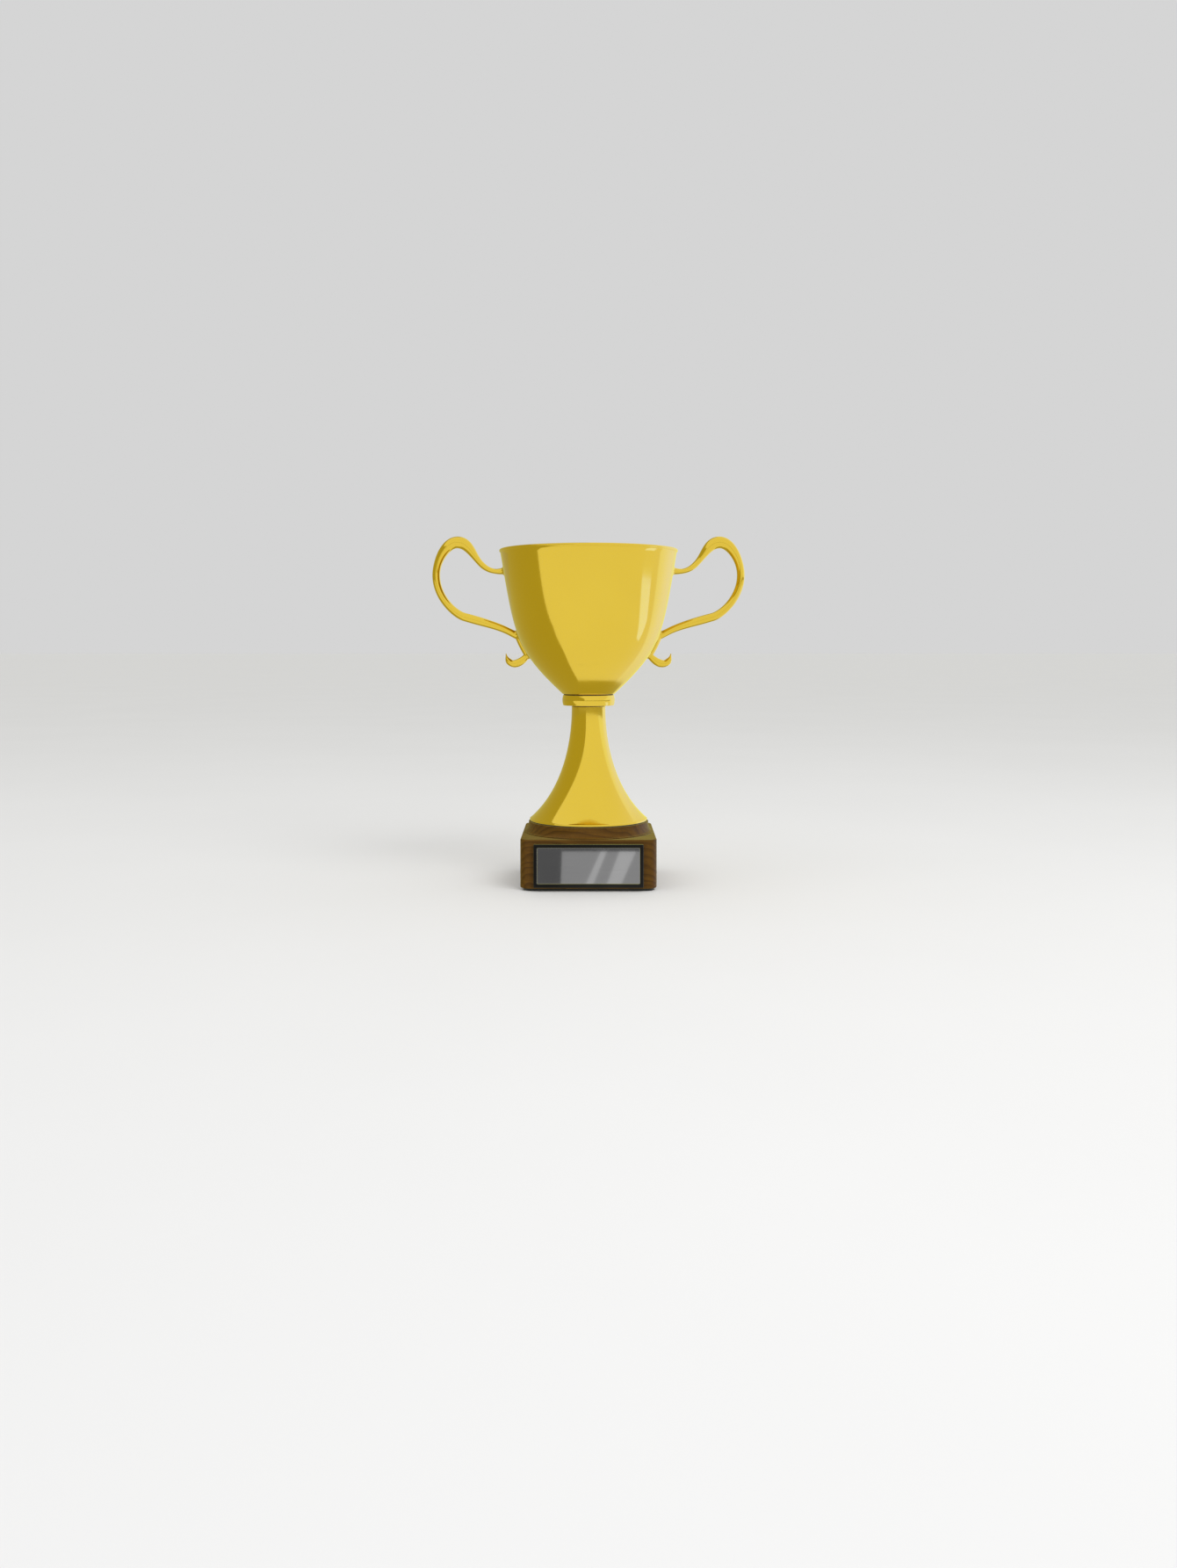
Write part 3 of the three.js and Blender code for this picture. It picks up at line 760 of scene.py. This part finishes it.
def make_cup():
    """A spun bowl with a rolled rim, a flat bottom and a hole for the rod."""
    floor_round = 3.0
    bead = arc_points(bead_middle, bead_radius, -62, 242, 30)
    clear_of_bead = rim_level - bead_radius * 0.9
    outer = [(r, z) for r, z in cup_outside[1:] if z < clear_of_bead]
    inner = [(r, z) for r, z in cup_inside[::-1] if cup_floor + floor_round < z < clear_of_bead]
    floor_corner = float(np.interp(cup_floor, cup_inside[:, 1], cup_inside[:, 0]))
    corners = [
        (hole_radius, cup_bottom),
        (cup_flat_radius, cup_bottom, 0.25),
        *outer,
        *bead,
        *inner,
        (floor_corner, cup_floor, 2.4),
        (hole_radius, cup_floor),
    ]
    add_piece("cup", *turned(corners), turned_gold, "cup_bowl")


# ---- Handles ----

embed = 3.0
upper_level = rim_level - 16.5
lower_level = cup_bottom + 49.2
curl_level = cup_bottom + 33.0
strap_thickness = 3.0
strap_width = 7.6
strap_top_margin = 2.0
strap_foot_margin = 0.5
arm_fillet = 2.4
curl_fillet = 1.8
screw_lower_drop = 1.5

# The arm's crest, bow and elbow, out from the rim's radius, and how far each curve is pulled there
crest_out, crest_rise = 37.5, 7.9
bow_out, bow_fall = 56.0, 20.8
elbow_out, elbow_rise = 31.2, 17.8
elbow_slope = math.radians(15.5)
arm_end_slope = math.radians(33)
arm_end_drop = 0.6 * embed
start_pull = np.array((28.0, -7.0))
crest_pull_in, crest_pull_out = 16.3, 9.9
bow_pull_up, bow_pull_down = 13.0, 19.8
elbow_pull_out, elbow_pull_in = 8.6, 31.0
arm_end_pull = 18.0

curl_slope = math.radians(-50)
curl_root_lift = 1.5
curl_root_buried = 1.6 * embed
curl_tip_offset = np.array((18.0, 1.7))
curl_start_pull = 11.0
curl_tip_pull = np.array((1.5, 11.7))

# Thickness in the handle's plane and width across it, at fractions of the length
arm_sections = [
    (0, 6.4, 9), (0.06, 4.3, 7.4), (0.13, 5.2, 7.8), (0.27, 10.3, 10.4), (0.45, 6.7, 8.6),
    (0.62, 6.6, 8), (0.76, 7.4, 8), (0.93, 6, 7.8), (1, 6.6, 8),
]
curl_sections = [(0, 5, 7.6), (0.5, 6.8, 7.4), (0.75, 5.6, 6.4), (1, 0.9, 2.4)]


def even_path(pieces, steps):
    """Joins Bezier pieces into one path with points at even distances."""
    finer = 80
    points = np.vstack([curve_points(*piece, finer)[min(i, 1):] for i, piece in enumerate(pieces)])
    lengths = np.concatenate([[0], np.cumsum(np.linalg.norm(np.diff(points, axis=0), axis=1))])
    at = np.linspace(0, lengths[-1], steps + 1)
    return np.stack([np.interp(at, lengths, points[:, i]) for i in (0, 1)], axis=1)


def section_at(sections, share):
    """Thickness and width at a share of the length, eased between the listed sections."""
    for (at, *size), (next_at, *next_size) in zip(sections, sections[1:]):
        if share <= next_at:
            along = (share - at) / (next_at - at)
            eased = along * along * (3 - 2 * along)
            return [a + (b - a) * eased for a, b in zip(size, next_size)]
    return sections[-1][1:]


def height_over_wall(points):
    """How far points stand outside the cup's wall, in millimetres."""
    across = np.hypot(points[:, 0], points[:, 1])
    lean, _ = wall_lean(points[:, 2])
    return (across - wall_radius(points[:, 2])) * lean


def fillet(height, radius):
    """How far a foot spreads at a height over the surface that it stands on."""
    inside = np.clip(radius - height, 0, radius)
    return radius - np.sqrt(radius ** 2 - inside ** 2)


def off_centre_turn(sides):
    """Directions all round, none of them along an axis of the section."""
    return (np.arange(sides) + 0.5) * 2 * math.pi / sides


def bar_rings(path, sections, sides=64):
    """A cast bar along a path in the radius-height plane, in oval sections."""
    along = unit(np.gradient(path, axis=0))
    outwards = np.cos(off_centre_turn(sides)) / 2
    across = np.sin(off_centre_turn(sides)) / 2
    rings = []
    for i, (centre, (run, rise)) in enumerate(zip(path, along)):
        thickness, width = section_at(sections, i / (len(path) - 1))
        side = np.stack([outwards * thickness * rise, across * width, -outwards * thickness * run], axis=1)
        rings.append(np.array((centre[0], 0, centre[1])) + side)
    return rings


def wall_normals(points):
    """The wall's outward direction at each point."""
    across = np.hypot(points[:, 0], points[:, 1])
    lean, fall = wall_lean(points[:, 2])
    return np.stack([lean * points[:, 0] / across, lean * points[:, 1] / across, fall], axis=1)


def stood_on_wall(rings, foot_radius, steps=12):
    """Ends a bar on the cup: its first rings, near the wall, give way to a foot that runs straight
    to the middle of the wall and spreads over it like a fillet."""
    first = next(i for i, ring in enumerate(rings) if height_over_wall(ring).min() > foot_radius)
    start = rings[first]
    middle = start.mean(axis=0)
    inwards = unit(middle - rings[first + 1].mean(axis=0))
    run = np.zeros(len(start))
    tries = 8
    for _ in range(tries):
        here = start + inwards * run[:, None]
        closing = -wall_normals(here) @ inwards
        run += (height_over_wall(here) + cup_wall / 2) / closing
    foot = []
    for share in np.sin(np.linspace(math.pi / 2, 0, steps + 1))[:-1]:
        here = start + inwards * (run * share)[:, None]
        normal = wall_normals(here)
        away = start - middle
        away = unit(away - (away * normal).sum(axis=1)[:, None] * normal)
        foot.append(here + away * fillet(height_over_wall(here), foot_radius)[:, None])
    return foot + rings[first:]


def domed(rings, steps=6):
    """Closes a bar with a dome after its last ring."""
    last = rings[-1]
    centre = last.mean(axis=0)
    onwards = unit(centre - rings[-2].mean(axis=0))
    half = np.linalg.norm(last - centre, axis=1).min()
    dome = []
    for angle in np.radians(np.linspace(0, 90, steps + 1)[1:-1]):
        dome.append(centre + (last - centre) * math.cos(angle) + onwards * half * math.sin(angle))
    return rings + dome + [np.tile(centre + onwards * half, (len(last), 1))]


def strap_rings(steps=40, sides=48):
    """The strap lies on the wall, from inside the arm's foot to inside the curl's root."""
    turn = off_centre_turn(sides)
    lift = np.cos(turn)
    rise = np.where(lift > 0, lift * strap_thickness, lift * cup_wall / 2)
    across = np.sin(turn) * strap_width / 2
    rings = []
    for level in np.linspace(lower_level + strap_top_margin, curl_level + strap_foot_margin, steps + 1):
        lean, fall = wall_lean(level)
        radius = wall_radius(level)
        rings.append(ring_at(radius + rise * lean, across / radius, level + rise * fall))
    return rings


def heading(slope):
    """The direction that rises outwards at a slope."""
    return np.array((math.cos(slope), math.sin(slope)))


def arm_pieces():
    """The arm's Bezier pieces: out of the wall, over the crest, round the bow and elbow, and back."""
    start = np.array((wall_radius(upper_level) - embed, upper_level))
    crest = np.array((cup_rim_radius + crest_out, rim_level + crest_rise))
    bow = np.array((cup_rim_radius + bow_out, rim_level - bow_fall))
    elbow = np.array((cup_rim_radius + elbow_out, lower_level + elbow_rise))
    end = np.array((wall_radius(lower_level) - embed, lower_level - arm_end_drop))
    end_pulled = end + arm_end_pull * heading(arm_end_slope)
    level_out = heading(0)
    upright = np.array((0, 1))
    return [
        (start, start + start_pull, crest - crest_pull_in * level_out, crest),
        (crest, crest + crest_pull_out * level_out, bow + bow_pull_up * upright, bow),
        (bow, bow - bow_pull_down * upright, elbow + elbow_pull_out * heading(elbow_slope), elbow),
        (elbow, elbow - elbow_pull_in * heading(elbow_slope), end_pulled, end),
    ]


def curl_pieces():
    """The curl's Bezier pieces: a straight root through the wall, then the hook up to its tip."""
    start = np.array((wall_radius(curl_level) + curl_root_lift, curl_level))
    tip = start + curl_tip_offset
    root = start - curl_root_buried * heading(curl_slope)
    return [
        (root, root + (start - root) / 3, start - (start - root) / 3, start),
        (start, start + curl_start_pull * heading(curl_slope), tip - curl_tip_pull, tip),
    ]


def joined(solids):
    """One mesh from several closed ones, by exact union."""
    objects = [link("handle_solid", mesh_of("handle_solid", *solid)) for solid in solids]
    first = objects[0]
    for other in objects[1:]:
        union = first.modifiers.new("union", "BOOLEAN")
        union.operation = "UNION"
        union.solver = "EXACT"
        union.object = other
    bpy.context.view_layer.update()
    whole = first.evaluated_get(bpy.context.evaluated_depsgraph_get())
    mesh = bpy.data.meshes.new_from_object(whole)
    for piece in objects:
        bpy.data.objects.remove(piece)
    return mesh


def fitted(rings, node):
    """Draws smooth rings in by the hair's breadth that they stand outside a faceted CAD node."""
    points = np.vstack(rings)
    reach, top = points[:, 0].max(), points[:, 2].max()
    narrower = min(1, high(node, "x") / reach)
    lower = max(0, top - high(node, "z"))
    fitted_rings = []
    for ring in rings:
        drop = lower * np.clip((ring[:, 2] - lower_level) / (top - lower_level), 0, 1)
        fitted_rings.append(np.stack([ring[:, 0] * narrower, ring[:, 1], ring[:, 2] - drop], axis=1))
    return fitted_rings


def make_handles():
    """Each handle is one casting: the arm, a strap on the wall and a curl below."""
    arm_steps = 300
    curl_steps = 120
    arm = stood_on_wall(bar_rings(even_path(arm_pieces(), arm_steps), arm_sections), arm_fillet)
    arm = fitted(stood_on_wall(arm[::-1], arm_fillet)[::-1], "handle_right")
    curl = bar_rings(even_path(curl_pieces(), curl_steps), curl_sections)
    curl = domed(stood_on_wall(curl, curl_fillet))
    for name, turn in (("right", 0), ("left", math.pi)):
        solids = []
        for rings in (arm, strap_rings(), curl):
            points, faces = loft(rings, False)
            solids.append((placed(points, Matrix.Rotation(turn, 4, "Z")), faces))
        finish_piece(f"handle_{name}_casting", joined(solids), cast_gold, f"handle_{name}", sharp=38)


# ---- Fasteners ----

def wall_seat(side, level):
    """Places a piece built along +Z so that +Z points out through the cup's wall."""
    lean_r, lean_z = wall_lean(level)
    outwards = Vector((side * lean_r, 0, lean_z))
    turn = Vector((0, 0, 1)).rotation_difference(outwards).to_matrix().to_4x4()
    return Matrix.Translation((side * wall_radius(level), 0, level)) @ turn


def small_circles(*outline):
    """A fastener's rings from (radius, level) pairs."""
    return [circle(radius, level, small_sides) for radius, level in outline]


def make_screws():
    """Button-head screws with hex sockets, and their washers, on the inside of the cup's wall."""
    washer_seat = -cup_wall - screw_gap
    washer_thickness = 0.6
    washer_radius = 3.6
    head_seat = washer_seat - washer_thickness - screw_gap
    head_height = 1.8
    head_radius = 2.9
    head_edge = 0.1
    crown = head_seat - head_height
    socket = 2.0
    socket_floor = crown + 1.0
    socket_cone = 0.4
    tip = strap_thickness - 2 * screw_gap
    tip_chamfer = 0.4
    dome = curve_points(
        (0.5 * head_radius, crown),
        (0.8 * head_radius, crown),
        (head_radius, crown + 0.8),
        (head_radius, head_seat - head_edge),
        10,
    )
    outline = [*dome, (head_radius - head_edge, head_seat), (screw_radius, head_seat)]
    outline += [(screw_radius, tip - tip_chamfer), (screw_radius - tip_chamfer, tip), (0, tip)]
    rings = small_circles((0, socket_floor + socket_cone))
    rings += [hexagon(socket, socket_floor), hexagon(socket, crown + head_edge)]
    rings += [hexagon(socket + 2 * head_edge, crown)]
    screw = loft(rings + small_circles(*outline), False)
    washer = turned([
        (screw_radius + screw_gap, washer_seat - washer_thickness, 0.08),
        (washer_radius, washer_seat - washer_thickness, 0.15),
        (washer_radius, washer_seat, 0.08),
        (screw_radius + screw_gap, washer_seat, 0.08),
    ], 3, small_sides)
    for side, side_name in ((-1, "left"), (1, "right")):
        for level, level_name in ((upper_level, "upper"), (lower_level - screw_lower_drop, "lower")):
            where = f"{side_name}_{level_name}"
            seat = wall_seat(side, level)
            for kind, (points, faces) in (("screw", screw), ("washer", washer)):
                node = f"handle_{kind}_{where}"
                add_piece(f"{kind}_{where}", placed(points, seat), faces, steel_look, node)


def chamfered_hex(bottom, top, bottom_too):
    """Rings of a hexagon whose corners are cut by a 30 degree cone at the top, and at the bottom."""
    corner = across_flats / math.sqrt(3)
    start = across_flats / 2 * 0.96
    fall = math.tan(math.radians(30))
    limits = np.linspace(start, corner, 7)
    rings = []
    for limit in limits:
        cone = limit if bottom_too else corner
        rings.append(hexagon(across_flats, bottom + (limit - start) * fall, cone))
    for limit in limits[::-1]:
        rings.append(hexagon(across_flats, top - (limit - start) * fall, limit))
    return rings


def make_nuts():
    """A plain hex nut in the counterbore, and a domed one that stands on the cup's floor."""
    bore_chamfer = 0.5
    mouth = rod_bore + bore_chamfer
    bottom, top = levels("base_nut")
    rings = small_circles((mouth, bottom)) + chamfered_hex(bottom, top, True)
    rings += small_circles((mouth, top), (rod_bore, top - bore_chamfer), (rod_bore, bottom + bore_chamfer))
    add_piece("nut_under_block", *loft(rings, True), steel_look, "base_nut")

    foot_chamfer = 0.4
    mouth = rod_bore + foot_chamfer
    bottom, top = levels("bowl_nut")
    hex_top = bottom + 5.5
    bore_top = hex_top + 0.5
    bore_tip = bore_top + 0.6
    dome_radius = 4.75
    rings = small_circles((0, bore_tip), (rod_bore, bore_top), (rod_bore, bottom + foot_chamfer))
    rings += small_circles((mouth, bottom)) + chamfered_hex(bottom, hex_top, False)
    for angle in np.radians(np.linspace(0, 90, 19))[:-1]:
        rings += small_circles((dome_radius * math.cos(angle), hex_top + (top - hex_top) * math.sin(angle)))
    rings += small_circles((0, top))
    add_piece("dome_nut", *loft(rings, False), steel_look, "bowl_nut")


def make_rod():
    """The tie rod, with its thread cut at both ends as a real helix."""
    bottom, top = levels("tie_rod")
    pitch = 1.0
    depth = 0.55
    threaded = 22.0
    fade = 2.0
    chamfer = 0.6
    sides = 32
    rings_per_pitch = 8
    angles = full_turn(sides)
    ends = np.arange(0, threaded, pitch / rings_per_pitch)
    heights = np.concatenate([bottom + ends, [(bottom + top) / 2], top - ends[::-1]])
    rings = [circle(0, bottom, sides)]
    for level in heights:
        from_end = min(level - bottom, top - level)
        turn = (level / pitch - angles / (2 * math.pi)) % 1
        groove = depth * (1 - np.abs(2 * turn - 1)) * np.clip((threaded - from_end) / fade, 0, 1)
        radii = np.minimum(rod_radius - groove, rod_radius - chamfer + from_end)
        rings.append(ring_at(radii, angles, level))
    rings.append(circle(0, top, sides))
    add_piece("threaded_rod", *loft(rings, False), steel_look, "tie_rod")


# ---- The trophy ----

make_block()
make_shoulder()
make_felt()
make_sheet("tape_sheet", "plaque_tape", 0.08, tape_look)
make_sheet("name_plate", "plaque_plate", 0.12, plate_look)
make_frame()
make_ring("gasket", "stem_gasket", stem_foot_radius - stem_lip_width, fibre_look)
make_stem()
make_ring("washer_under_collar", "collar_washer_lower", hole_radius, fibre_look)
make_collar()
make_ring("washer_over_collar", "collar_washer_upper", hole_radius, fibre_look)
make_cup()
make_handles()
make_screws()
make_nuts()
make_rod()
for level_name, washer_node in (("under_block", "base_washer"), ("in_cup", "bowl_washer")):
    make_ring(f"rod_washer_{level_name}", washer_node, rod_bore, steel_look, 0.2, small_sides)


# ---- Stage ----

def four_cornered(name, corners, material):
    """A flat sheet in the scene, from its corners in millimetres."""
    mesh = mesh_of(name, corners, [(0, 1, 2, 3)])
    mesh.materials.append(material)
    return link(name, mesh)


def make_floor():
    """A pale floor that runs to the horizon."""
    reach = 60000.0
    paint = Shader("floor_paint", Roughness=0.9)
    tone = paint.noise(paint.place, 3.0, 4.0)
    paint.feed_all(paint.surface, Base_Color=paint.mixed(tone, grey(0.72), grey(0.75)))
    corners = [(-reach, -reach, 0), (reach, -reach, 0), (reach, reach, 0), (-reach, reach, 0)]
    floor = four_cornered("floor", corners, paint.material)
    floor.visible_glossy = False


def make_lights():
    """A large soft key from the upper right and a weaker one from the upper left."""
    size = 1.2
    target = Vector((0, 0, 0.05))
    for name, place, power in (("key", (0.9, -1.2, 1.6), 17.0), ("fill", (-1.1, -0.7, 1.8), 2.0)):
        light = bpy.data.lights.new(name, "AREA")
        light.size = size
        light.energy = power
        lamp = link(name, light)
        lamp.location = place
        lamp.rotation_euler = (target - lamp.location).to_track_quat("-Z", "Y").to_euler()
        lamp.visible_glossy = False
        lamp.visible_camera = False


def glowing(strength):
    """A material that gives light and takes none."""
    look = bpy.data.materials.new("card_glow")
    look.use_nodes = True
    look.node_tree.nodes.clear()
    nodes = Nodes(look.node_tree)
    light = nodes.fed("ShaderNodeEmission", (grey(strength),))
    nodes.feed_all(nodes.add("ShaderNodeOutputMaterial"), Surface=light)
    return look


def make_cards():
    """Cards that only reflections see, close in front of the nameplate: a dark one along its left
    end and top, two slanting lights, and a grey one behind them. They lean in at the top, so that
    the bowl sees them edge-on. A card's ends are measured from the plate's middle."""
    half_width = high("plaque_frame", "x")
    half_height = (high("plaque_frame", "z") - low("plaque_frame", "z")) / 2
    stand_off = 25.0
    apart = 0.1
    lean = 0.23
    away = camera_distance + plate_front
    spread = 1 + stand_off / away
    drop = (camera_height - plate_middle) * stand_off / away
    shade_end = -22.5
    shade_slant = 0.7
    shade_foot = half_height - 5.4
    slant = 14.2
    dark, middling, bright = 0.19, 0.59, 0.95

    def corners(foot_left, foot_right, top_left, top_right, foot=-half_height):
        return [(foot_left, foot), (foot_right, foot), (top_right, half_height), (top_left, half_height)]

    cards = [
        (dark, corners(-half_width, shade_end - shade_slant, -half_width, shade_end + shade_slant)),
        (dark, corners(shade_end + 0.6, half_width, shade_end + shade_slant, half_width, shade_foot)),
        (bright, corners(-3.0, 3.2, slant - 1.8, slant + 3.2)),
        (bright, corners(14.4, 26.4, slant + 13.4, slant + 27.4)),
        (middling, corners(-half_width, half_width, -half_width, half_width)),
    ]
    for i, (glow, ends) in enumerate(cards):
        points = []
        for x, z in ends:
            y = plate_front - stand_off - apart * i + lean * z
            points.append((x * spread, y, plate_middle + z * spread - drop))
        card = four_cornered(f"card_{i + 1}", points, glowing(glow))
        card.visible_camera = False
        card.visible_diffuse = False
        card.visible_shadow = False
        card.visible_transmission = False


class Studio(Nodes):
    """A room as zones of azimuth, measured from -Y towards +X, and of elevation, in degrees."""

    def __init__(self, tree):
        super().__init__(tree)
        self.x, self.y, z = self.parts(self.add("ShaderNodeTexCoord").outputs["Generated"])
        from_front = self.math("ARCTAN2", self.x, self.times(self.y, -1.0))
        self.azimuth = self.times(from_front, 180 / math.pi)
        self.elevation = self.times(self.math("ARCSINE", z), 180 / math.pi)
        self.above = self.rising(self.elevation, -2.0, 0.0)

    def sloped(self, start, slope):
        """An azimuth that changes with the elevation."""
        return self.plus(self.times(self.elevation, slope), start)

    def past(self, edge, softness=1.0):
        """1 where the azimuth is past an edge, 0 before it."""
        return self.rising(self.minus(self.azimuth, edge), -softness, softness)

    def short_of(self, edge):
        return self.minus(1.0, self.past(edge))

    def by_height(self, low_edge, high_edge):
        """One value below the horizon and another above it."""
        kept = self.times(low_edge, self.minus(1.0, self.above))
        return self.plus(kept, self.times(high_edge, self.above))

    def flag_edge(self):
        """Below the horizon the flag ends at -70 degrees, comes 9 degrees nearer the middle, then
        turns away towards the nadir. Above it the edge starts near the middle and curves left."""
        dip = self.math("MAXIMUM", self.minus(-11.0, self.elevation), 0.0)
        nearer = self.times(self.math("MINIMUM", dip, 18.0), 0.5)
        under = self.math("MAXIMUM", self.minus(-40.0, self.elevation), 0.0)
        turning = self.times(self.math("POWER", under, 3.0), -0.00102)
        edge_low = self.plus(self.plus(nearer, turning), -70.0)
        over = self.math("MAXIMUM", self.minus(self.elevation, 5.0), 0.0)
        edge_high = self.plus(self.times(self.times(over, over), -0.053), -17.0)
        return self.by_height(edge_low, edge_high)

    def beneath(self):
        """0 in what a surface that leans out by over 45 degrees reflects from below and behind."""
        across = self.falling(self.minus(self.y, self.squares(self.x, self.y)), -0.01, 0.01)
        return self.math("MAXIMUM", across, self.ranged(self.elevation, -24.0, -20.0, 0.0, 1.0))

    def strip(self):
        """A narrow light on the right, from 30 degrees under the horizon up to a slanting top."""
        end = self.math("MINIMUM", self.sloped(86.0, -1.0), 103.0)
        width = self.times(self.past(self.sloped(68.0, -0.9)), self.short_of(end))
        top = self.minus(self.elevation, self.times(self.azimuth, 0.106))
        height = self.times(self.rising(self.elevation, -31.0, -29.0), self.falling(top, -20.3, -19.7))
        return self.times(width, height)

    def skirting(self):
        """A thin dark line where the room's walls would meet its floor."""
        line = self.times(self.rising(self.elevation, -3.4, -3.0), self.falling(self.elevation, -0.1, 0.6))
        return self.times(self.times(line, self.short_of(110.0)), 0.9)


def make_world():
    """A studio that reflections see: a dark flag on the left, a pale wall ahead, a bright one on
    the right, and a strip light between. The camera and the matt surfaces see an even grey."""
    world = bpy.data.worlds.new("studio")
    bpy.context.scene.world = world
    world.use_nodes = True
    studio = Studio(world.node_tree)
    beneath = studio.beneath()
    lit = studio.times(studio.past(studio.flag_edge()), beneath)
    wall = studio.mixed(lit, rgb(0.54, 0.495, 0.15), rgb(1.01, 1.0, 0.9))
    right_edge = studio.by_height(studio.sloped(103.0, -0.7), studio.sloped(68.0, 1.75))
    right_light = studio.mixed(studio.rising(studio.azimuth, 120.0, 170.0), rgb(1.1, 1.17, 1.35),
                               rgb(0.94, 0.89, 0.25))
    wall = studio.mixed(studio.times(studio.past(right_edge), beneath), wall, right_light)
    wall = studio.mixed(studio.strip(), wall, rgb(1.15, 1.32, 3.0))
    wall = studio.mixed(studio.skirting(), wall, rgb(0.5, 0.46, 0.2))
    rays = studio.add("ShaderNodeLightPath")
    colour = studio.mixed(rays.outputs["Is Glossy Ray"], grey(0.88), wall)
    colour = studio.mixed(rays.outputs["Is Camera Ray"], colour, grey(0.665))
    studio.feed_all(studio.tree.nodes["Background"], Color=colour)


def make_camera():
    """The photograph's viewing angle: straight on, just under the cup's middle."""
    camera = link("camera", bpy.data.cameras.new("camera"))
    camera.location = (0, -camera_distance * MM, camera_height * MM)
    camera.rotation_euler = (math.radians(90), 0, 0)
    camera.data.lens = 30.25
    camera.data.sensor_width = 36.0
    camera.data.shift_y = -0.086
    bpy.context.scene.camera = camera


make_floor()
make_lights()
make_cards()
make_world()
make_camera()
bpy.context.scene.view_settings.view_transform = "Standard"
